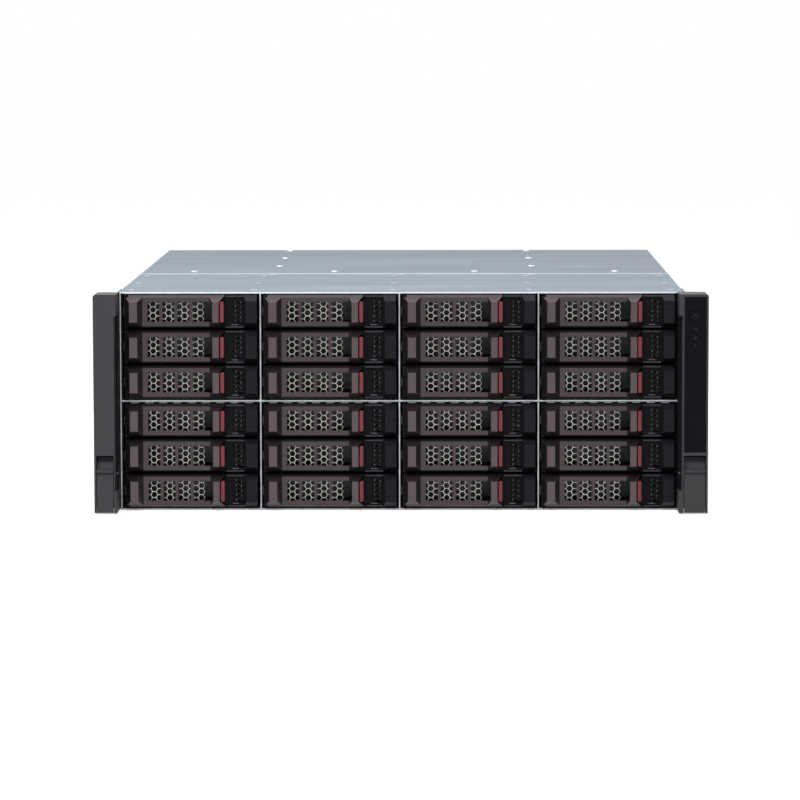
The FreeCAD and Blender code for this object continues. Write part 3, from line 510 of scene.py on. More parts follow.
def add_material(key, name, color, roughness, metallic=0.0, specular=0.5, tint=None, matt=None, relief=None):
    """Makes a material of the set. Each of the last three starts with a pattern, which is a noise's scale, detail
    and stretch. Then tint has two colours and may have the ends of their ramp, matt has two roughnesses, and
    relief has a height in metres and a strength."""
    material = new_material(name, color, roughness, metallic, specular)
    tree = material.node_tree
    for vary, values in ((vary_color, tint), (vary_roughness, matt), (add_bump, relief)):
        if values:
            pattern, *rest = values
            vary(tree, noise(tree, *pattern), *rest)
    MATERIALS[key] = material
    return material


def make_materials():
    """All the finishes, from the colours in the panel."""
    sheet, carrier, ear, rear = look("sheet"), look("carrier"), look("ear"), look("rear")
    fine = 0.00003                    # height of a fine grain, in metres

    # sheet steel and screws
    add_material("zinc", "galvanised_sheet", sheet.zinc, sheet.roughness, specular=0.12,
                 tint=((9, 8, (0.6, 3.2, 1)), *tones(sheet.zinc, 0.90, 1.08)),
                 matt=((300, 2), sheet.roughness - 0.05, sheet.roughness + 0.09), relief=((900, 3), 0.00004, 0.35))
    # painted highlights: lighter copies of the zinc for the hems of the covers and the cage
    add_material("edge", "sheet_edge_painted_highlight", sheet.edge, 0.34, metallic=0.4,
                 tint=((240, 3), *tones(sheet.edge, 0.93, 1.05)), relief=((1500, 2), fine, 0.3))
    add_material("bright", "hem_painted_highlight", *tones(sheet.edge, 0.75), 0.36, metallic=0.4,
                 tint=((240, 3), *tones(sheet.edge, 0.70, 0.79)), relief=((1500, 2), fine, 0.3))
    # painted shade: a darker copy of the zinc for the cage, seen only in the shade of the gaps between the
    # carriers; the carriers' springs and the ears' screws share it
    add_material("cage", "cage_sheet_painted_shade", *tones(sheet.zinc, 0.42), 0.5, metallic=0.5,
                 tint=((60, 4), *tones(sheet.zinc, 0.38, 0.47)), relief=((900, 3), fine, 0.3))
    add_material("screw", "bright_screw", (0.72, 0.73, 0.74), 0.28, metallic=1.0, matt=((700, 2), 0.22, 0.36))

    # carriers
    bronze = add_material("bronze", "bronze_paint", carrier.bronze, 0.34, metallic=0.85,
                          tint=((2600, 2), *tones(carrier.bronze, 0.88, 1.14)),
                          matt=((1200, 2), 0.30, 0.38), relief=((3800, 2), 0.00002, 0.35))
    # painted shade and light: the handle's recessed panel is darkened and its proud ribs are lightened
    paint_depth_shade(bronze.node_tree, FRONT + PANEL_FRONT - 0.6, FRONT + RIB_FRONT + 0.4, 0.80, 1.24)
    add_material("black", "black_moulding", carrier.black, 0.42, specular=0.07,
                 tint=((900, 3), *tones(carrier.black, 0.8, 1.25)), matt=((500, 2), 0.34, 0.48),
                 relief=((2400, 3), fine, 0.4))
    # painted light: a lighter copy of the black moulding makes the proud indicator boss look lit
    add_material("boss", "indicator_boss_painted_light", *tones(carrier.black, 2.2), 0.4, specular=0.10,
                 tint=((900, 3), *tones(carrier.black, 1.9, 2.5)), relief=((2400, 3), fine, 0.4))
    # painted light: a lighter copy of the black moulding makes the strips over and under the vents look lit; the
    # power button's marks use it as their printed grey
    add_material("strip", "strip_painted_light_and_print", *tones(carrier.black, 4.5), 0.3, specular=0.3,
                 tint=((900, 3), *tones(carrier.black, 4, 5)), relief=((2400, 3), fine, 0.4))
    add_material("red", "red_button", carrier.red, 0.34, specular=0.2,
                 tint=((500, 2), *tones(carrier.red, 0.93, 1.05)), relief=((2600, 2), 0.00002, 0.3))
    add_material("mesh_steel", "honeycomb_steel", carrier.mesh_steel, 0.3, metallic=0.55,
                 tint=((160, 3), *tones(carrier.mesh_steel, 0.82, 1.1)), matt=((900, 2), 0.28, 0.42))
    add_material("lens", "indicator_window", (0.008, 0.010, 0.016), 0.25, specular=0.15,
                 tint=((1500, 2), (0.006, 0.008, 0.012), (0.010, 0.013, 0.021)))
    # painted shade: the drive's casting, bright aluminium on a real drive, is coloured dark as it sits in the
    # shade behind the grille
    add_material("cast", "drive_casting_painted_shade", (0.10, 0.105, 0.11), 0.5, metallic=0.8,
                 tint=((420, 4), (0.085, 0.09, 0.095), (0.12, 0.125, 0.13)), relief=((1500, 4), 0.00008, 0.5))
    add_material("drive_cover", "drive_cover", (0.55, 0.56, 0.57), 0.3, metallic=0.9,
                 tint=((60, 4, (1, 10, 1)), (0.50, 0.51, 0.52), (0.60, 0.61, 0.62)),
                 matt=((90, 2, (1, 14, 1)), 0.24, 0.4))

    # ears
    add_material("ear", "ear_plastic", ear.plastic, 0.45, specular=0.3,
                 tint=((1300, 3), *tones(ear.plastic, 0.84, 1.18), 0.4, 0.62), matt=((700, 2), 0.38, 0.52),
                 relief=((2600, 3), 0.00006, 0.5))
    add_material("panel", "panel_film", ear.panel, 0.36, specular=0.05,
                 tint=((400, 2), *tones(ear.panel, 0.85, 1.15)), relief=((1800, 2), 0.00002, 0.3))
    add_material("mark", "panel_mark", (0.075, 0.075, 0.08), 0.5, specular=0.2,
                 tint=((900, 2), (0.065, 0.065, 0.07), (0.085, 0.085, 0.09)))
    add_material("bracket", "black_bracket_paint", (0.010, 0.010, 0.011), 0.45, specular=0.12,
                 tint=((600, 3), (0.008, 0.008, 0.009), (0.013, 0.013, 0.014)), relief=((1700, 3), 0.00004, 0.4))

    # inside and rear
    add_material("board", "circuit_board", rear.board, 0.38,
                 tint=((500, 4, (1, 0.25, 1)), *tones(rear.board, 0.7, 1.35), 0.42, 0.58),
                 relief=((900, 3, (1, 0.3, 1)), 0.00004, 0.5))
    add_material("connector", "connector_plastic", (0.02, 0.02, 0.022), 0.42,
                 tint=((700, 2), (0.017, 0.017, 0.019), (0.025, 0.025, 0.027)))
    add_material("fan", "fan_plastic", (0.022, 0.022, 0.025), 0.38,
                 tint=((500, 3), (0.018, 0.018, 0.021), (0.028, 0.028, 0.031)), relief=((1600, 2), fine, 0.3))
    add_material("module", "module_sheet", rear.zinc, 0.4, metallic=0.85,
                 tint=((34, 6), *tones(rear.zinc, 0.9, 1.08)), matt=((320, 2), 0.34, 0.48),
                 relief=((1100, 3), 0.00004, 0.3))
    # painted shade: a near-black colour for the sheets behind the modules' vents
    add_material("hollow", "painted_shade_hollow", (0.006, 0.006, 0.007), 0.75,
                 tint=((600, 2), (0.005, 0.005, 0.006), (0.009, 0.009, 0.010)))
    add_material("touch", "release_tab", rear.touch, 0.38,
                 tint=((500, 2), *tones(rear.touch, 0.9, 1.1)), relief=((2000, 2), fine, 0.3))
    add_material("gold", "contact_gold", (0.62, 0.44, 0.16), 0.3, metallic=1.0, matt=((900, 2), 0.25, 0.38))


def dress(material, *nodes):
    """Gives solids of the frame their finish."""
    for node in nodes:
        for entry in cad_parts[node].material_slots:
            entry.material = MATERIALS[material]


# ---------------------------------- carriers, each piece around the middle of its slot
LEFT_RIB = (4.2, 10.5)
RIGHT_RIB = (HANDLE_LENGTH - 9.2, HANDLE_LENGTH - 4.2)
VALLEY = (14.25, RIGHT_RIB[0] - 2.6)
FIRST_WINDOW = 18.2
WINDOW_PITCH = 11.87
WINDOW_WIDTH = 9.6
HALF_WINDOW = 8.0
SIDE_EDGE = HANDLE_BACK - 1.2
BUTTON_AT = (RIGHT_RIB[1] + 1.0, RIGHT_RIB[1] + 4.0)
GRILLE_AT = (FIRST_WINDOW - 1.5, FIRST_WINDOW + 3 * WINDOW_PITCH + WINDOW_WIDTH + 0.3)
GRILLE_MIDDLE = -1.27                 # height at which the cells' rows lie evenly in the windows
BOSS_RIGHT = HALF_TRAY - 0.4
BOSS_LEFT = BOSS_RIGHT - 8.55
BOSS_FOOT = BOSS_LEFT - 2.3
BOSS_FRONT = BASE_FRONT - 7.5
LAMP_AT = (0.6, -5.6)
THROUGH_BASE = (BASE_FRONT - 2, BASE_BACK + 2)
RAIL_WINDOWS = (22, 66, 110)          # where the openings in a rail start
DRIVE_FROM_REAR = (150, 3)           # where the drive starts and ends, before the tray's rear
DRIVE_WIDTH = 50.8                    # half of it


def taper(piece, back, half):
    """Cuts a sloping top and bottom that start at the plane y = back."""
    clip(piece, *(((0, back, side * half), (0, -DRAFT, side)) for side in (-1, 1)))


def make_handle():
    """The faceted handle: two ribs joined by a windowed panel."""
    looks = look("carrier")
    body = add_box("handle", face_span(0, HANDLE_LENGTH), (RIB_FRONT, HANDLE_BACK), (-HALF_FACE, HALF_FACE))
    taper(body, HANDLE_BACK, HALF_FACE)
    depth = SIDE_EDGE - RIB_FRONT
    clip(body, ((along(0), SIDE_EDGE, 0), (-depth, -LEFT_RIB[0], 0)),
         ((along(HANDLE_LENGTH), SIDE_EDGE, 0), (depth, -LEFT_RIB[0], 0)))

    valley = add_box("valley", face_span(*VALLEY), (RIB_FRONT - 3, PANEL_FRONT), (-20, 20))
    rise = (PANEL_FRONT - RIB_FRONT + 3) / (PANEL_FRONT - RIB_FRONT)
    middle = sum(face_span(*VALLEY)) / 2
    nudge(valley, "VERT", lambda at, _: at.x < middle and at.y < RIB_FRONT,
          (-(VALLEY[0] - LEFT_RIB[1]) * rise, 0, 0))
    nudge(valley, "VERT", lambda at, _: at.x > middle and at.y < RIB_FRONT,
          ((RIGHT_RIB[0] - VALLEY[1]) * rise, 0, 0))
    cutters = [valley]
    for n in range(looks.windows):
        start = FIRST_WINDOW + n * WINDOW_PITCH
        last = n == looks.windows - 1
        end = VALLEY[1] + 1.2 if last else start + WINDOW_WIDTH
        cutters.append(rounded_box("window", face_span(start, end), (PANEL_FRONT - 4, HANDLE_BACK + 4),
                                   (-HALF_WINDOW, HALF_WINDOW), 0.8))
    pocket_end = HANDLE_BACK + 1
    for name, x, y, half in (
            ("notch", (RIGHT_RIB[1] + 0.5, HANDLE_LENGTH + 2), (RIB_FRONT - 2, HANDLE_BACK + 2), 8.5),
            ("left_pocket", (5.2, 9.4), (RIB_FRONT + 1.8, pocket_end), 7),
            ("finger_room", (66.6, RIGHT_RIB[0] - 0.35), (RIB_FRONT + 0.9, pocket_end), 7.6),
            ("right_pocket", (66.6, 73.6), (RIB_FRONT + 1.8, pocket_end), 7)):
        cutters.append(add_box(name, face_span(*x), y, (-half, half)))
    for side in (-1, 1):
        cutters.append(add_box("lug_room", face_span(-1, 3.2), (-6, pocket_end), (side * 11.4, side * 14)))
    carve(body, cutters)
    round_edges(body, looks.edge_radius, 2, 24)

    tongue = add_box("tongue", face_span(72.85, 74.05), (RIB_FRONT + 1.2, HANDLE_BACK + 5.4), (-4, 4))
    edit(tongue)
    pick(tongue, "FACE", facing(1))
    shift((0, -1.2, 0))
    bpy.ops.mesh.extrude_region_move(TRANSFORM_OT_translate={"value": (0, 1.2 * MM, 0)})
    bpy.ops.transform.resize(value=(0.3, 1, 1))
    done()
    return merge([body, tongue], "handle_master")


def make_base():
    """The black moulding behind the handle: its plate, baffle, lugs, ducts and the rails that carry the drive; and
    apart from it the indicator boss and the strips over and under the vents."""
    plate = add_box("plate", (-HALF_TRAY, HALF_TRAY), (BASE_FRONT, BASE_BACK), (-HALF_SLOT, HALF_SLOT))
    cutters = [add_box("grille_room", face_span(GRILLE_AT[0], 72), THROUGH_BASE, span(0, HALF_WINDOW + 0.4)),
               add_box("catch_room", face_span(72.5, 78.7), THROUGH_BASE, (-4.9, 4.9))]
    for n in range(5):
        slot = add_box("vent", off(BOSS_FOOT, -8.4, -0.3), THROUGH_BASE, span((2 - n) * 3.9, 0.95))
        nudge(slot, "FACE", facing(0), (0, 0, -1.3))
        nudge(slot, "FACE", facing(0, -1), (0, 0, 0.5))
        cutters.append(slot)
    carve(plate, cutters)

    boss = add_box("boss", (BOSS_FOOT, BOSS_RIGHT), (BOSS_FRONT, BASE_FRONT + 0.2), (-HALF_FACE, HALF_FACE))
    taper(boss, BASE_FRONT, HALF_FACE)
    clip(boss, ((BOSS_FOOT, BASE_FRONT, 0), (-7.5, -2.3, 0)))
    carve(boss, [rounded_box("lamp_room", face_span(98.9, 102.3), off(BOSS_FRONT, -1, 0.45),
                             span(middle, 1.35), 0.5) for middle in LAMP_AT])
    round_edges(boss, 0.35 * MM, 3, 24)

    parts = [plate, add_box("baffle", span(0, HALF_TRAY - 1.5), off(BASE_BACK, -0.2, 36), (12.0, 12.9))]
    strips = []
    for side in (-1, 1):
        z = sorted((side * (HALF_FACE - 0.5), side * (HALF_FACE - 1.6)))
        strips.append(rounded_box("strip", (along(80.2), BOSS_FOOT + 0.4), off(BASE_FRONT, -2.2, 0.1), z, 0.25))
        parts.append(add_box("lug", face_span(0.28, 2.52), (-3.32, BASE_FRONT + 0.1),
                             (side * 11.7, side * HALF_FACE)))
        rail = add_box("rail", (side * HALF_TRAY, side * (HALF_TRAY - 1.6)), (BASE_BACK - 0.2, TRAY_REAR),
                       (-HALF_SLOT, HALF_SLOT - 7))
        x = (side * (HALF_TRAY - 3), side * (HALF_TRAY + 1))
        carve(rail, [rounded_box("rail_room", x, (start, start + 34), (-7, 1.5), 2.0) for start in RAIL_WINDOWS])
        clip(rail, ((0, TRAY_REAR, 2), (0, 1, 1)))
        parts.append(rail)
        parts.append(add_box("duct", face_span(14, 74), off(BASE_BACK, -0.2, 32), (side * 10.2, side * 9.2)))
    for x in (along(14), along(73)):
        parts.append(add_box("duct", (x, x + 1), off(BASE_BACK, -0.2, 32), (-10.2, 10.2)))
    base = merge(parts, "base_master")
    boss.name = "boss_master"
    return round_edges(base, 0.22 * MM, 2, 28, soft=False), boss, merge(strips, "strips_master")


def make_button():
    """The red release button with its stem."""
    left, right = along(BUTTON_AT[0]), along(BUTTON_AT[1])
    cap = add_box("cap", (left, right), off(BASE_FRONT, -8.2, -2.3), (-8.2, 8.2))
    bevel(cap, running(1), 1.15, 4)
    sink(cap, facing(1, -1), (0.5, (0, -0.15, 0)))
    stem = add_box("stem", (left + 0.4, right - 0.4), (BASE_FRONT - 2.6, BASE_BACK + 1.2), (-4.8, 4.8))
    clip(stem, (((left + right) / 2, BASE_BACK + 1.2, 0), (-1, 1, 0)))
    return round_edges(merge([cap, stem], "button_master"), 0.2 * MM, 2, 30)


def honeycomb(name, x, z, y, pitch, wall, thickness, whole=False):
    """A plate of hexagonal cells across two ranges, with its face at y, in millimetres; whole keeps the last
    column's cells closed."""
    step = pitch * math.sqrt(3) / 2
    rows = math.ceil((z[1] - z[0]) / pitch) + 2
    pairs = math.ceil((x[1] - x[0]) / step / 2) + (not whole)
    columns = []
    for k in range(2):
        bpy.ops.object.select_all(action="DESELECT")
        start = (x[0] + k * step, y, (z[0] + z[1]) / 2 + (rows - 1) / 2 * pitch - k * pitch / 2)
        bpy.ops.mesh.primitive_circle_add(vertices=6, radius=pitch / math.sqrt(3) * MM, fill_type="NGON",
                                          location=scaled(start), rotation=(math.pi / 2, math.pi / 6, 0))
        columns.append(freeze("cells"))
    plate = merge(columns, name)
    for away, count in (((0, 0, -pitch * MM), rows), ((2 * step * MM, 0, 0), pairs)):
        apply_modifier(plate, "ARRAY", use_relative_offset=False, use_constant_offset=True,
                       constant_offset_displace=away, count=count)
    edit(plate)
    bpy.ops.mesh.select_all(action="SELECT")
    bpy.ops.mesh.remove_doubles(threshold=0.05 * MM)
    bpy.ops.mesh.inset(thickness=wall / 2 * MM, use_individual=True)
    bpy.ops.mesh.delete(type="FACE")
    end = x[1] + 2 * pitch if whole else x[1]
    for point, normal in (((x[0], 0, 0), (-1, 0, 0)), ((end, 0, 0), (1, 0, 0)), ((0, 0, z[1]), (0, 0, 1)),
                          ((0, 0, z[0]), (0, 0, -1))):
        bpy.ops.mesh.select_all(action="SELECT")
        bpy.ops.mesh.bisect(plane_co=scaled(point), plane_no=normal, clear_outer=True)
    done()
    apply_modifier(plate, "SOLIDIFY", thickness=thickness * MM, offset=-1)
    return plate


def make_grille():
    """The honeycomb plate behind the handle's windows, and two steel strips behind the vents."""
    looks = look("carrier")
    plate = honeycomb("grille_master", face_span(GRILLE_AT[0] - 2.83, GRILLE_AT[1] - 0.7),
                      span(GRILLE_MIDDLE, HALF_WINDOW + 1.3), BASE_BACK, looks.cell_height / MM,
                      looks.cell_wall / MM, 0.8, whole=True)
    bars = [add_box("bar", (BOSS_FOOT - d - 0.6, BOSS_FOOT - d), off(BASE_BACK, 0.4, 1.2), (-8.6, 8.6))
            for d in (1.9, 6.2)]
    for bar in bars:
        round_edges(bar, 0.2 * MM)
    return merge([plate, *bars], "grille_master")


def make_spring():
    """The bowed contact strip at the carrier's left, the hinge pin, and the sill under the vents."""
    strip = add_box("strip", off(-HALF_TRAY, -1.1, -0.7), (0, 9), (-3.4, 3.4))
    slice_at(strip, 1, (2, 4.5, 7))
    nudge(strip, "VERT", lambda at, _: at.y < 1 or at.y > 8.5, (0.7, 0, 0))
    round_edges(strip, 0.12 * MM, 1)
    pin = add_rod("pin", (along(1.4), SIDE_EDGE, 0), 0.7, 2 * HALF_FACE, sides=12)
    round_edges(pin, 0.1 * MM, 1, 50)
    sill = rounded_box("sill", off(BOSS_FOOT, -9.4, -4.3), off(BASE_FRONT, -0.3, 0.4), (-10.7, -10.1), 0.15)
    return merge([strip, pin, sill], "spring_master")


def make_lamps():
    """The two indicator windows on the boss."""
    return merge([rounded_box("lamp", face_span(99.35, 101.85), off(BOSS_FRONT, 0.05, 0.6), span(middle, 0.95),
                              0.3) for middle in LAMP_AT], "lamp_master")


def make_drive():
    """The drive in its tray: the cast body with its screw holes, and the bright cover with its screws."""
    low, high = -13.05, 10.05
    front, rear = (TRAY_REAR - distance for distance in DRIVE_FROM_REAR)
    casting = add_box("casting", (-DRIVE_WIDTH, DRIVE_WIDTH), (front, rear), (low, high))
    rooms = []
    for side in (-1, 1):
        for y in off(front, 22, 62, 108):
            rooms.append(add_rod("screw_room", (side * DRIVE_WIDTH, y, -7), 2.4, 2, "X", 16))
        rooms.append(rounded_box("side_room", (side * 49.6, side * 53), off(front, 30, 100), (0, 7), 1.5))
    carve(casting, rooms)
    round_edges(casting, 0.7 * MM)
    cover = add_box("cover", (-47.8, 47.8), (front + 3, rear - 6), off(high, -0.3, 3))
    bevel(cover, running(2), 9, 5)
    sink(cover, facing(2), (3, (0, 0, -0.6)))
    round_edges(cover, 0.4 * MM)
    spindle = add_rod("spindle", (0, front + 66, high + 2.6), 13, 0.9, sides=32)
    sink(spindle, facing(2), (4, (0, 0, -0.4)))
    parts = [cover, round_edges(spindle, 0.2 * MM, 1)]
    for y in (front + 9, rear - 12, front + 72):
        for x in (-43, 43):
            screw = add_rod("screw", (x, y, high + 2.6), 2.3, 0.9, sides=14)
            parts.append(round_edges(screw, 0.25 * MM, 1))
    return casting, merge(parts, "drive_cover_master")


class SHELF_OT_carriers(bpy.types.Operator):
    """Makes one carrier's handle, base, button, grille and drive, and puts a copy in each slot"""
    bl_idname = "shelf.carriers"
    bl_label = "Drive carriers"

    def execute(self, context):
        casting, drive_cover = make_drive()
        base, boss, strips = make_base()
        masters = {
            "base": (base, "black", "carrier_black"),
            "boss": (boss, "boss", "carrier_black"),
            "strips": (strips, "strip", "carrier_black"),
            "handle": (make_handle(), "bronze", "handle_bronze"),
            "button": (make_button(), "red", "release_red"),
            "grille": (make_grille(), "mesh_steel", "cage_steel"),
            "spring": (make_spring(), "cage", "screw_steel"),
            "lamps": (make_lamps(), "lens", "panel_black"),
            "drive": (casting, "cast", "cage_steel"),
            "drive_cover": (drive_cover, "drive_cover", "cage_steel"),
        }
        for row, column in SLOTS:
            place = f"r{row}c{column}"
            for kind, (master, material, slot) in masters.items():
                own_body = row == 1 and kind in ("handle", "button")
                body = f"{kind}_{place}" if own_body else f"carrier_{place}"
                replaced = (body,) if own_body or kind == "base" else ()
                piece = placed_copy(master, f"{kind}_look_{place}", slot_place(row, column))
                finish(piece, material, body, slot, *replaced)
        for master, _, _ in masters.values():
            drop(master)
        return {"FINISHED"}


# ---------------------------------- chassis and covers
RIVET_X = (-215, -117.3, -7.4, 101.8, 213.7)
RIVET_DEPTHS = (19, 99, 190)
LAST_RIVETS = ((-111, -2, 107), 205)  # x and depth of the cover's rearmost row
COVER_HOLES = ((-111.5, -1.6, 108.2), 57)
SEAM_SCREW_X = (-179, -59.667, 59.667, 179)
LID_SCREW_X = 109.5
LID_SCREW_DEPTHS = (101, 16)          # from the lid's front and from its rear
SIDE_RIVETS = ((60, 120, 200, 330, 440, 545), (14, 160))


def make_rivet(radius):
    """A flat dome on a flat flange, standing on z = 0 at the origin."""
    head = add_rod("rivet", (0, 0, 0.2), radius, 0.4, sides=20)
    sink(head, facing(2), (radius * 0.3, (0, 0, 0.12)), (radius * 0.25, (0, 0, -0.16)))
    smooth(head, 50)
    return head


def make_screw(radius, height):
    """A pan-head screw with a cross recess, standing on z = 0 at the origin."""
    head = add_rod("screw", (0, 0, height / 2), radius, height, sides=24)
    bevel(head, lambda at, line: at.z > height * 0.9 and abs(line.z) < 0.1, height * 0.55, 3)
    long, short = radius * 0.55, radius * 0.12
    carve(head, [add_box("arm", (-x, x), (-y, y), (height * 0.4, height + 1))
                 for x, y in ((long, short), (short, long))])
    smooth(head, 35)
    return head


def put_screws(master, places, name, body="chassis", turn=None, material="screw", replaced=()):
    """Copies of a rivet or screw in many places, as one finished piece."""
    return finish(spread(master, places, name, turn), material, body, "screw_steel", *replaced)


class SHELF_OT_covers(bpy.types.Operator):
    """Makes the fixed cover with its rivets, and the lid with its hem and screws"""
    bl_idname = "shelf.covers"
    bl_label = "Covers"

    def execute(self, context):
        width = (COVER_LOW.x, COVER_HIGH.x)
        skin = add_box("cover", width, (COVER_LOW.y + 0.6, COVER_HIGH.y), (TOP - SHEET, TOP))
        hole_x, hole_depth = COVER_HOLES
        carve(skin, [add_rod("hole", (x, FRONT + hole_depth, TOP), 1.1, 6, sides=14) for x in hole_x])
        bevel(skin, lambda at, line: at.y < COVER_LOW.y + 0.7 and at.z > TOP - 0.1, 0.9, 4)
        smooth(skin, 40)
        # painted highlight: a bright hem along the cover's front edge
        hem = rounded_box("cover_hem", width, off(FRONT, 0, 1.5), off(TOP, -1.8, -0.45), 0.4, 3)
        finish(hem, "edge", "chassis", "galvanised")
        flange = rounded_box("flange", (-221.4, 221.4), off(COVER_HIGH.y, -SHEET, 0),
                             (COVER_LOW.z, TOP - 0.4), 0.3)
        put([skin, flange], "front_cover_look", "zinc", "chassis", "galvanised", "front_top_cover")

        places = [(x, FRONT + depth, TOP) for x in RIVET_X for depth in RIVET_DEPTHS]
        last_x, last_depth = LAST_RIVETS
        places += [(x, FRONT + last_depth, TOP) for x in last_x]
        put_screws(make_rivet(look("sheet").rivet_radius / MM), places, "cover_rivets")

        width = (LID_LOW.x, LID_HIGH.x)
        plate = rounded_box("lid", width, (LID_LOW.y, LID_HIGH.y), (TOP - SHEET, TOP), 0.25)
        # painted highlight: a bright hem along the lid's front edge
        hem = rounded_box("lid_hem", width, off(LID_LOW.y, 0, 1.6), off(TOP, -0.5, 0.4), 0.3)
        finish(hem, "bright", "lid", "galvanised")
        parts = [plate, rounded_box("step", width, off(LID_LOW.y, 1.5, 6), off(TOP, -0.5, 0.4), 0.3)]
        for side in (-1, 1):
            parts.append(rounded_box("flange", (side * 219.8, side * 221), (LID_LOW.y + 6, LID_HIGH.y - 6),
                                     (LID_LOW.z, TOP - 0.6), 0.3))
        put(parts, "lid_look", "zinc", "lid", "galvanised", "rear_lid")

        seam = node_box("lid_screws")[0].y + 3.2
        first, last = LID_LOW.y + LID_SCREW_DEPTHS[0], LID_HIGH.y - LID_SCREW_DEPTHS[1]
        places = [(x, seam, TOP) for x in SEAM_SCREW_X]
        places += [(side * LID_SCREW_X, y, TOP) for side in (-1, 1) for y in (first, (first + last) / 2, last)]
        put_screws(make_screw(3.2, 0.9), places, "lid_screws_look", "lid", replaced=("lid_screws",))
        return {"FINISHED"}


class SHELF_OT_chassis(bpy.types.Operator):
    """Finishes the chassis' sheet metal, and adds its rivets, contact fingers and seams"""
    bl_idname = "shelf.chassis"
    bl_label = "Chassis"

    def execute(self, context):
        dress("zinc", "chassis_tub", "rear_panel", "fan_wall", "rear_bay_frame")
        # painted shade: the cage's dividers and shelf get the darker copy of the zinc
        dress("cage", "cage_dividers", "cage_shelf")

        shelf_low, shelf_high = node_box("cage_shelf")
        finger = add_box("finger", (-3.15, 3.15), off(FRONT, 1.6, 7), off(shelf_low.z, -0.9, -0.55))
        slice_at(finger, 1, off(FRONT, 3, 5))
        nudge(finger, "VERT", lambda at, _: at.y > FRONT + 6.5, (0, 0, 0.5))
        round_edges(finger, 0.1 * MM, 1)

        edge = off(FRONT, -0.35, 1)
        left, right = TUB_LOW.x, TUB_HIGH.x
        hems = [rounded_box("hem", x, edge, z, 0.3) for x, z in (
            ((left + 1.2, right - 4), off(shelf_high.z, -1.25, 0)),
            ((left + 1.2, right - 1.2), off(TUB_LOW.z, 0, 1.25)),
            (off(left, 0, 1.15), (TUB_LOW.z + 1, TUB_HIGH.z)))]
        gaskets = []
        for z in ((1.2, shelf_low.z), (shelf_high.z, TOP - 1.2)):
            for column in range(1, COLUMNS):
                middle = (slot_place(1, column).x + slot_place(1, column + 1).x) / 2
                hems.append(rounded_box("hem", span(middle, 0.62), edge, z, 0.3))
                for side in (-1, 1):
                    gaskets.append(rounded_box("gasket", off(middle, side * 0.63, side * 1.0),
                                               off(FRONT, -0.1, 0.6), z, 0.1, 1))
            for x in (off(left, 1.15, 2.7), (CAGE_RIGHT - 1.5, right - 0.2)):
                gaskets.append(rounded_box("gasket", x, off(FRONT, -0.45, 1.5), z, 0.2, 1))
        for row, column in SLOTS:
            place = slot_place(row, column)
            for side in (-1, 1):
                x = sorted(off(place.x, side * (HALF_TRAY + 1.1), side * (HALF_TRAY - 1.4)))
                gaskets.append(add_box("guide_tip", x, off(FRONT, 5.2, 5.95),
                                       (place.z - HALF_SLOT - 1.15, place.z - HALF_SLOT - 0.3)))
        # painted highlight: bright hems on the cage's front edges
        put(hems, "cage_hems", "bright", "chassis", "cage_steel")
        put(gaskets, "cage_gaskets", "black", "chassis", "carrier_black")

        middles = [slot_place(1, column).x for column in range(1, COLUMNS + 1)]
        places = [(middle - 45 + 11.3 * n, 0, 0) for middle in middles for n in range(9)]
        put_screws(finger, places, "shelf_fingers")
        for side, name in ((-1, "left"), (1, "right")):
            places = [(side * TUB_HIGH.x, FRONT + d, z) for d in SIDE_RIVETS[0] for z in SIDE_RIVETS[1]]
            turn = Matrix.Rotation(side * math.pi / 2, 4, "Y")
            put_screws(make_rivet(2.6), places, f"side_rivets_{name}", turn=turn)
        return {"FINISHED"}


# ---------------------------------- ears; -1 is the left one, 1 the right one
EAR_INNER = {-1: 223.4, 1: 218.5}
EAR_STEP = {-1: 1.6, 1: 2.7}          # how far the middle of an ear's inner side stands back
LATCH_INNER = {-1: 226.25, 1: 222.75}
# painted shade: black blocks that fill the shadowed recess on each ear's inner side
SHADE_FILLER = {-1: (223.45, 225.3), 1: (218.7, 221.5)}
EAR_SCREW_X = {-1: 224.3, 1: 219.9}
LIP_HEIGHT = 33.7
RACK_SCREW_AT = (232.55, 20.3)
MARK_DROPS = ((5.0, 20), (11.8, 20), (18.0, 3))  # distance under the button, and number of sides


def ear_parts(side):
    """One ear's block, and what is cut out of it: the step of its inner side, the back, and the latch's bay."""
    inner, outer = EAR_INNER[side], EAR_HIGH.x
    low, high, front, back = EAR_LOW.z, EAR_HIGH.z, EAR_LOW.y, EAR_HIGH.y
    step = inner + EAR_STEP[side]
    body = add_box("ear", (side * inner, side * outer), (front, back), (low, high))
    clip(body, ((side * outer, 0, high - 1.4), (side, 0, 1)))
    return body, [
        add_box("step", (side * (inner - 3), side * step), (front - 1, back + 1), (low + 17.2, high - 17.2)),
        add_box("hollow", (side * (outer - 1.8), side * (step + 1.8)), (front + 1.8, back + 1),
                (low + 1.8, high - 1.8)),
        add_box("bay", (side * (outer - 1.7), side * (LATCH_INNER[side] - 0.45)), (front - 1, back + 1),
                off(low, -1, 45.5)),
    ]


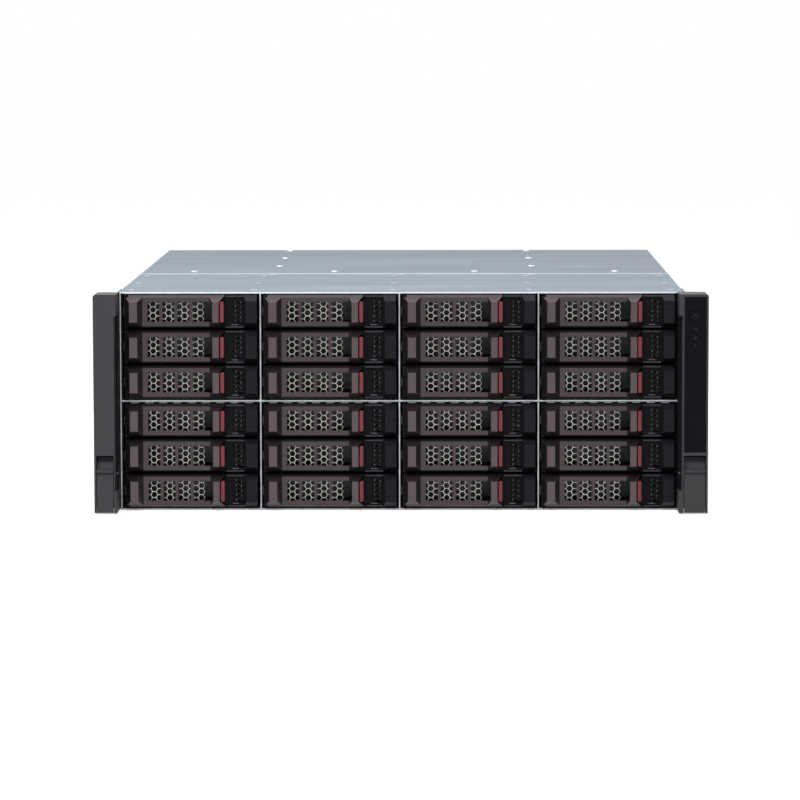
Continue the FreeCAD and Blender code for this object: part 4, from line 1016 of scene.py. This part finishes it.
def make_latch(side, node):
    """The flap over the rack screw: a lip with a curved finger hollow over it, and its pivot."""
    low, high = node_box(node)
    left, right = sorted((side * (EAR_HIGH.x - 2.15), side * LATCH_INNER[side]))
    middle = (left + right) / 2
    ear_y, ear_z = EAR_LOW.y, EAR_LOW.z
    lip = ear_z + LIP_HEIGHT
    body = add_box("latch", (left, right), (low.y, ear_y + 9.2), (ear_z + 0.2, high.z))
    slice_at(body, 2, off(lip, -2.4, -1.4))
    nudge(body, "VERT", lambda at, _: at.y < low.y + 0.1 and at.z < lip - 2, (0, 1.9, 0))
    hollow = add_rod("hollow", (middle, ear_y - 4.6, lip + 11.6), 12.0, right - left + 4, "X", 64)
    under = add_box("under", (left - 2, right + 2), off(ear_y, 2.6, 12), (ear_z - 2, lip - 2.5))
    carve(body, [hollow, under])
    pivot = add_box("pivot", (left, right), off(ear_y, 1.4, 7.2), off(ear_z, 3.2, 7.6))
    latch = merge([body, pivot], f"{node}_look")
    round_edges(latch, 0.55 * MM, 3, 28)
    pin = add_rod("pin", (middle, ear_y + 5, ear_z + 5.4), 1.2, right - left + 2.5, "X", 16)
    return merge([latch, round_edges(pin, 0.2 * MM, 1, 50)], f"{node}_look")


def button_hole():
    """The power button's room in the right ear and its panel."""
    return rounded_box("hole", (POWER_LOW.x - 0.25, POWER_HIGH.x + 0.25), off(EAR_LOW.y, -3, 16),
                       (POWER_LOW.z - 0.25, POWER_HIGH.z + 0.25), 0.8)


class SHELF_OT_ears(bpy.types.Operator):
    """Makes the two ears, their latches and screws, and the control panel with its power button"""
    bl_idname = "shelf.ears"
    bl_label = "Rack ears"

    def execute(self, context):
        front, radius = EAR_LOW.y, look("ear").edge_radius
        body, cutters = ear_parts(-1)
        left_ear = round_edges(carve(body, cutters), radius, 3)
        body, cutters = ear_parts(1)
        pocket = rounded_box("pocket", (PANEL_LOW.x, PANEL_HIGH.x), off(front, -3, 1.5),
                             (PANEL_LOW.z, PANEL_HIGH.z), 0.6)
        right_ear = round_edges(carve(body, [*cutters, pocket, button_hole()]), radius, 3)
        put([left_ear, right_ear], "ears_look", "ear", "chassis", "ear_plastic", "ear_covers")

        plate = add_box("panel", (PANEL_LOW.x + 0.5, PANEL_HIGH.x - 0.4), off(front, 0.35, 1.5),
                        (PANEL_LOW.z + 0.4, PANEL_HIGH.z - 0.4))
        panel = round_edges(carve(plate, [button_hole()]), 0.3 * MM)
        put([panel], "control_panel_look", "panel", "chassis", "panel_black", "control_panel")

        button = add_box("power_button_look", *zip(POWER_LOW, POWER_HIGH))
        bevel(button, running(1), 1.8, 5)
        sink(button, facing(1, -1), (0.9, (0, 0.3, 0)))
        round_edges(button, 0.3 * MM, 2, 30)
        finish(button, "panel", "power_button", "panel_black", "power_button")

        middle = (POWER_LOW.x + POWER_HIGH.x) / 2
        marks = [add_ring("mark", (middle, front + 0.33, POWER_LOW.z - down), 0.8, 0.15, sides)
                 for down, sides in MARK_DROPS]
        ring = add_ring("mark", (middle, POWER_LOW.y + 0.28, (POWER_LOW.z + POWER_HIGH.z) / 2), 1.9, 0.2, 28)
        stroke = add_box("stroke", span(middle, 0.2), off(POWER_LOW.y, 0.1, 0.4), off(POWER_LOW.z, 5, 7.4))
        round_edges(stroke, 0.08 * MM, 1)
        put([ring], "power_ring_mark", "strip", "power_button", "panel_black")
        put([stroke], "power_stroke_mark", "strip", "power_button", "panel_black")
        put(marks, "panel_marks", "mark", "chassis", "panel_black")

        for side, name in ((-1, "left"), (1, "right")):
            node = f"{name}_ear_latch"
            finish(make_latch(side, node), "ear", f"{name}_latch", "ear_plastic", node)
        low, high = node_box("ear_brackets")
        brackets = []
        for side in (-1, 1):
            flange = add_box("flange", (side * TUB_HIGH.x, side * high.x), (low.y, FRONT), (low.z, high.z))
            clip(flange, ((side * high.x, 0, high.z - 4.5), (side, 0, 1)))
            leg = add_box("leg", (side * TUB_HIGH.x, side * (TUB_HIGH.x + 1.5)), (low.y, high.y), (low.z, high.z))
            hole = add_rod("hole", (side * RACK_SCREW_AT[0], FRONT, RACK_SCREW_AT[1]), 4.25, 6, "Y", 32)
            brackets += [round_edges(carve(flange, [hole]), 0.3 * MM), round_edges(leg, 0.3 * MM)]
        put(brackets, "brackets_look", "bracket", "chassis", "bracket_black", "ear_brackets")
        # painted shade: black blocks stand in for the shadow in the ears' inner recesses
        fillers = [rounded_box("filler", (side * near, side * far), (front + 16, EAR_HIGH.y - 0.1),
                               (EAR_LOW.z + 16.8, EAR_HIGH.z - 16.8), 0.3) for side, (near, far) in SHADE_FILLER.items()]
        put(fillers, "ear_shade_fillers", "black", "chassis", "ear_plastic")
        places = [(side * x, front + 16, 31) for side, x in EAR_SCREW_X.items()]
        inward = Matrix.Rotation(math.pi / 2, 4, "X")
        put_screws(make_screw(0.8, 0.7), places, "ear_screws", turn=inward, material="cage")
        dress("screw", "rack_screws")
        dress("board", "backplane")
        dress("connector", "drive_connectors")
        return {"FINISHED"}


# ---------------------------------- inside and rear
OUTLETS = tuple(span(middle, 48.65) for middle in (-160.95, -53.65, 53.65, 160.95))
OUTLET_Z = (99.4, 151.6)
FACE = REAR + 1.5                     # the modules' face plates
FLOORS = (2.7, 45.2)                  # the lower and upper module's floor
INLET = (-205.8, -178.3)
PSU_FAN_X = -159.3
PORTS = (-98.1, -72.1, -46.1)
KNOBS = (-124.5, 63.5)
CONTACTS = (-4.8, -3.2, -1.6, 0, 1.6, 3.2, 4.8)
RIB_HEIGHTS = (26, 44, 62)
FAN_CORNER = 52.5                     # half the distance between a fan's screws
GUARD_RADII = (12, 22, 32, 42, 52)
CHIPS = ((-96, 80, 9, 2.2), (-96, 120, 7, 1.6), (-72, 150, 6, 1.4),  # x, depth from the rear, half width, height
         (28, 70, 10, 2.4), (28, 110, 10, 2.4), (48, 150, 7, 5.0))
VENTS = ((-116, -62), (-56, -14))
BLADE_SLICES = (-15, -9, -3, 3, 9, 15)
OUTWARD = Matrix.Rotation(-math.pi / 2, 4, "X")


def framed_screen(name, x, z, y, pitch, wall, thickness):
    """A honeycomb with a plain border."""
    rim, lap = 1.6, 0.4
    tall = (z[0] - rim, z[1] + rim)
    parts = [honeycomb(name, x, z, y, pitch, wall, thickness)]
    for side_x, side_z in ((x, off(z[0], -rim, lap)), (x, off(z[1], -lap, rim)), (off(x[0], -rim, lap), tall),
                           (off(x[1], -lap, rim), tall)):
        parts.append(rounded_box("rim", side_x, (y - 0.1, y + thickness + 0.1), side_z, 0.15, 1))
    return merge(parts, name)


def wire_guard(middle, radii, wire, sides=40):
    """Rings of wire on two crossed bars, in a plane of y."""
    x, y, z = middle
    parts = [add_ring("ring", middle, radius, wire, sides) for radius in radii]
    parts += [add_rod("bar", (x, y - wire, z), wire, 2 * max(radii), axis, 8) for axis in ("X", "Z")]
    for part in parts:
        smooth(part, 60)
    return merge(parts, "guard")


def turned(k, count):
    """The kth of a number of equal turns about the y axis."""
    return Matrix.Rotation(2 * math.pi * k / count, 4, "Y")


def make_rotor():
    """A fan's rotor about the y axis: a domed hub and curved blades."""
    low, high = node_box("fan_rotor_1")
    length = high.y - low.y
    hub = add_rod("hub", (0, length / 2, 0), 22, length, "Y", 48)
    bevel(hub, lambda at, line: at.y > length - 0.1 or at.y < 0.1, 2.2, 3)
    smooth(hub, 35)
    parts = [hub]
    count = look("rear").blades
    for k in range(count):
        blade = add_box("blade", (-15, 15), span(length / 2, 0.8), (19, 53.2))
        slice_at(blade, 0, BLADE_SLICES[1:-1])
        for x in BLADE_SLICES:
            nudge(blade, "VERT", lambda at, _: abs(at.x - x) < 0.1, (0, 0.72 * x + 2.6 - x * x / 60, -x * x / 110))
        round_edges(blade, 0.3 * MM, 1, 50)
        blade.data.transform(turned(k, count))
        parts.append(blade)
    return merge(parts, "rotor_master")


def add_fans():
    """The three fans' rotors, wire guards and screws."""
    dress("fan", "fan_frames")
    rotor = make_rotor()
    back = node_box("fan_frames")[1].y
    guards, corners = [], []
    for n in range(1, 4):
        low, high = node_box(f"fan_rotor_{n}")
        x, z = (low.x + high.x) / 2, (low.z + high.z) / 2
        piece = placed_copy(rotor, f"fan_rotor_look_{n}", (x, low.y, z))
        finish(piece, "fan", f"rotor_{n}", "fan_black", f"fan_rotor_{n}")
        guards.append(wire_guard((x, back + 1.7, z), GUARD_RADII, 0.8))
        corners += [(place_x, back, place_z) for place_x in span(x, FAN_CORNER) for place_z in span(z, FAN_CORNER)]
    drop(rotor)
    put(guards, "fan_guards", "screw", "chassis", "screw_steel")
    put_screws(make_screw(3.0, 1.8), corners, "fan_screws", turn=OUTWARD)


def add_rear_panel():
    """The outlets' screens, and the rear panel's ribs and screws."""
    z = (OUTLET_Z[0] - 1, OUTLET_Z[1] + 1)
    screens = [framed_screen("screen", (left - 1, right + 1), z, REAR - 2.1, 6.4, 1.1, 0.8)
               for left, right in OUTLETS]
    put(screens, "outlet_screens", "zinc", "chassis", "galvanised")
    ribs = [rounded_box("rib", (88, 206), off(REAR, -0.3, 0.5), span(z, 2.2), 0.6, 3) for z in RIB_HEIGHTS]
    put(ribs, "rear_ribs", "zinc", "chassis", "galvanised")
    places = [(x, REAR, z) for x in (-215.5, -107.3, 0, 107.3, 215.5) for z in (93.5, 157.5)]
    places += [(x, REAR, z) for x in (78, 215.5) for z in (10, 78)]
    put_screws(make_screw(2.6, 1.2), places, "rear_screws", turn=OUTWARD)


def add_power_supply(n, floor):
    """A power supply's inlet with its pins, its fan behind a wire guard, and its lamp."""
    body = f"power_supply_{n}"
    z = off(floor, 4, 24)
    socket = add_box("socket", (INLET[0] + 0.1, INLET[1] - 0.1), off(FACE, -15.8, 0.6), (z[0] + 0.1, z[1] - 0.1))
    room = add_box("room", (INLET[0] + 2.6, INLET[1] - 2.6), off(FACE, -13, 2), (z[0] + 2.4, z[1] - 2.4))
    bevel(room, lambda at, line: abs(line.y) > 0.9 and at.z > floor + 14, 3.4, 1)
    put([round_edges(carve(socket, [room]), 0.4 * MM)], f"inlet_socket_{n}", "connector", body, "connector_black")
    middle_x, middle_z = sum(INLET) / 2, floor + 13.2
    metal = [rounded_box("pin", span(middle_x + dx, 1), off(FACE, -13.2, -3), span(middle_z + dz, 2.2), 0.4)
             for dx, dz in ((-7, -1.4), (0, 1.6), (7, -1.4))]
    metal.append(wire_guard((PSU_FAN_X, FACE + 0.5, floor + 17), (4.2, 8.0, 11.6, 14.6), 0.5, 32))
    put(metal, f"psu_metal_{n}", "screw", body, "screw_steel")
    fan = [add_rod("hub", (PSU_FAN_X, FACE - 4, floor + 17), 5, 3.6, "Y", 24)]
    place = Matrix.Translation(Vector((PSU_FAN_X, FACE - 5, floor + 17)) * MM)
    for k in range(5):
        blade = add_box("blade", (-4, 4), (-0.5, 0.5), (4, 13.8))
        nudge(blade, "VERT", lambda at, _: at.x > 0, (0, 2.4, 0))
        blade.data.transform(place @ turned(k, 5))
        fan.append(blade)
    put(fan, f"psu_fan_{n}", "fan", body, "fan_black")
    lamp = rounded_box(f"psu_lamp_{n}", (-161, -158.6), off(FACE, -0.3, 0.25), off(floor, 35.2, 37.4), 0.25)
    finish(lamp, "lens", body, "panel_black")


def add_module_board(n, floor):
    """An interface module's board with its chips and its heat sink."""
    body = f"interface_module_{n}"
    board = rounded_box(f"module_board_{n}", (-129, 67.8), off(REAR, -186, -24.5), off(floor, 6.4, 6.9), 0.1, 1)
    finish(board, "board", body, "board_green")
    chips = [rounded_box("chip", span(x, half), span(REAR - depth, half), (floor + 6.7, floor + 6.9 + height), 0.4)
             for x, depth, half, height in CHIPS]
    put(chips, f"module_chips_{n}", "connector", body, "connector_black")
    y = off(REAR, -112, -60)
    fins = [rounded_box("fin", (x, x + 1.2), y, off(floor, 6.8, 15), 0.2, 1) for x in range(-50, 6, 5)]
    fins.append(rounded_box("fin", (-50, 1.2), y, off(floor, 6.8, 9), 0.3, 1))
    put(fins, f"module_heat_sink_{n}", "module", body, "module_steel")


def add_module_face(n, floor):
    """What an interface module shows at the rear: ports with their contacts and lamps, knobs and vents."""
    body = f"interface_module_{n}"
    metal, contacts, tongues, lamps = [], [], [], []
    for x in PORTS:
        bezel = add_box("bezel", span(x, 9.6), off(FACE, -0.2, 0.7), off(floor, 6.7, 19.9))
        mouth = add_box("mouth", span(x, 8.5), span(FACE, 2), off(floor, 7.8, 18.8))
        metal.append(round_edges(carve(bezel, [mouth]), 0.25 * MM))
        tongues.append(rounded_box("tongue", span(x, 6), off(FACE, -23, -4), off(floor, 12.4, 13.6), 0.2, 1))
        contacts += [add_box("contact", span(x + dx, 0.35), off(FACE, -12, -4.6), off(floor, 12.3, 13.7))
                     for dx in CONTACTS]
        lamps += [rounded_box("lamp", span(x + dx, 1), off(FACE, -0.3, 0.25), off(floor, 23.4, 25), 0.25)
                  for dx in (-4, 4)]
    for x in KNOBS:
        knob = add_rod("knob", (x, FACE + 2.6, floor + 20), 3.6, 5.2, "Y", 24)
        sink(knob, facing(1), (0.8, (0, -0.6, 0)))
        metal.append(round_edges(knob, 0.25 * MM, 2, 50))
    put(metal, f"module_metal_{n}", "screw", body, "screw_steel")
    put(tongues, f"port_tongues_{n}", "board", body, "board_green")
    put(contacts, f"port_contacts_{n}", "gold", body, "screw_steel")
    put(lamps, f"module_lamps_{n}", "lens", body, "panel_black")
    vents = [framed_screen("vent", x, off(floor, 28.6, 36.6), FACE + 0.1, 2.6, 0.5, 0.4) for x in VENTS]
    put(vents, f"module_vents_{n}", "module", body, "module_steel")
    # painted shade: a black sheet behind each vent stands in for the dark inside of the module
    backs = [rounded_box("back", (left - 0.2, right + 0.2), off(FACE, -0.2, 0.08), off(floor, 28.4, 36.8), 0.05, 1)
             for left, right in VENTS]
    put(backs, f"module_shade_backs_{n}", "hollow", body, "connector_black")


class SHELF_OT_rear(bpy.types.Operator):
    """Makes the fans' rotors and guards, the outlets' screens, and the power supplies' and modules' details"""
    bl_idname = "shelf.rear"
    bl_label = "Fans and modules"

    def execute(self, context):
        add_fans()
        add_rear_panel()
        for n, floor in enumerate(FLOORS, 1):
            dress("module", f"power_supply_{n}", f"interface_module_{n}")
            dress("touch", f"psu_latch_{n}")
            add_module_board(n, floor)
            add_power_supply(n, floor)
            add_module_face(n, floor)
        return {"FINISHED"}


# ---------------------------------- floor, light and camera
def add_lamp(name, power, size, location, turn):
    bpy.ops.object.light_add(type="AREA", location=location, rotation=[math.radians(a) for a in turn])
    lamp = bpy.context.object
    lamp.name = name
    lamp.data.shape = "RECTANGLE"
    lamp.data.size, lamp.data.size_y = size
    lamp.data.energy = power


def seen_rays(tree):
    """1 for the rays that show the background: straight, mirrored or through glass."""
    rays = add_node(tree, "ShaderNodeLightPath")
    total = rays.outputs["Is Camera Ray"]
    for name in ("Is Glossy Ray", "Is Transmission Ray"):
        either = add_node(tree, "ShaderNodeMath")
        either.operation = "MAXIMUM"
        tree.links.new(total, either.inputs[0])
        tree.links.new(rays.outputs[name], either.inputs[1])
        total = either.outputs["Value"]
    return total


def show(tree, seen, surface, other=None):
    """Gives the rays that show the background one shader, and all the rest another or none."""
    mix = add_node(tree, "ShaderNodeMixShader")
    tree.links.new(seen_rays(tree), mix.inputs["Fac"])
    if other:
        tree.links.new(other, mix.inputs[1])
    tree.links.new(seen, mix.inputs[2])
    tree.links.new(mix.outputs["Shader"], surface)


class SHELF_OT_stage(bpy.types.Operator):
    """Adds the floor, the lamps, the sky and the camera"""
    bl_idname = "shelf.stage"
    bl_label = "Stage"

    def execute(self, context):
        looks = look("stage")
        scene = context.scene
        bpy.ops.object.select_all(action="DESELECT")
        bpy.ops.mesh.primitive_plane_add(size=30, location=(0, 0, BOX_AT_START[0][2] - 0.0002))
        floor = context.object
        floor.name = "floor"
        cloth = new_material("floor_paint", looks.floor, 0.9)
        tree = cloth.node_tree
        vary_color(tree, noise(tree, 3, 2), *tones(looks.floor, 0.995, 1.0))
        glow = add_node(tree, "ShaderNodeEmission", Color=WHITE, Strength=0.55)
        both = add_node(tree, "ShaderNodeAddShader")
        tree.links.new(tree.nodes["Principled BSDF"].outputs["BSDF"], both.inputs[0])
        tree.links.new(glow.outputs["Emission"], both.inputs[1])
        show(tree, both.outputs["Shader"], tree.nodes["Material Output"].inputs["Surface"])
        floor.data.materials.append(cloth)

        world = bpy.data.worlds.new("studio")
        scene.world = world
        world.use_nodes = True
        tree = world.node_tree
        sky = tree.nodes["Background"]
        sky.inputs["Color"].default_value = WHITE
        sky.inputs["Strength"].default_value = looks.sky
        white = add_node(tree, "ShaderNodeBackground", Color=WHITE, Strength=1.0)
        show(tree, white.outputs["Background"], tree.nodes["World Output"].inputs["Surface"],
             sky.outputs["Background"])

        add_lamp("overhead_lamp", looks.overhead, (1.8, 0.5), (0.2, 0.0, 1.4), (-12, 0, 0))
        add_lamp("front_lamp", looks.front, (1.7, 0.9), (-0.4, -1.3, 1.3), (43, 0, -16))

        bpy.ops.object.camera_add(location=(0.03856, -3.36185, 0.38770))
        camera = context.object
        camera.name = "camera"
        camera.rotation_euler = [math.radians(a) for a in (84.447, 0.1, 0.722)]
        camera.data.sensor_width = 36
        camera.data.lens = looks.lens
        camera.data.clip_start, camera.data.clip_end = 0.05, 60
        scene.camera = camera
        scene.view_settings.view_transform = "Standard"
        return {"FINISHED"}


class SHELF_PT_sidebar(bpy.types.Panel):
    """Lists the shelf's finishes and the steps that build it"""
    bl_idname = "SHELF_PT_sidebar"
    bl_label = "Disk shelf"
    bl_space_type = "VIEW_3D"
    bl_region_type = "UI"
    bl_category = "Disk shelf"

    def draw(self, context):
        for operator in OPERATORS:
            self.layout.operator(operator.bl_idname)
        for name, group in LOOKS.items():
            box = self.layout.box()
            box.label(text=name.title())
            for key in group.__annotations__:
                box.prop(getattr(context.scene, "shelf_" + name), key)


OPERATORS = (SHELF_OT_stage, SHELF_OT_chassis, SHELF_OT_covers, SHELF_OT_ears, SHELF_OT_carriers, SHELF_OT_rear)


def register():
    for kind in (*LOOKS.values(), *OPERATORS, SHELF_PT_sidebar):
        bpy.utils.register_class(kind)
    for name, group in LOOKS.items():
        setattr(bpy.types.Scene, "shelf_" + name, PointerProperty(type=group))


def unregister():
    for name in LOOKS:
        delattr(bpy.types.Scene, "shelf_" + name)
    for kind in (SHELF_PT_sidebar, *reversed(OPERATORS), *reversed(list(LOOKS.values()))):
        bpy.utils.unregister_class(kind)


def main():
    register()
    make_materials()
    for operator in OPERATORS:
        group, name = operator.bl_idname.split(".")
        getattr(getattr(bpy.ops, group), name)()


if __name__ == "__main__":
    main()
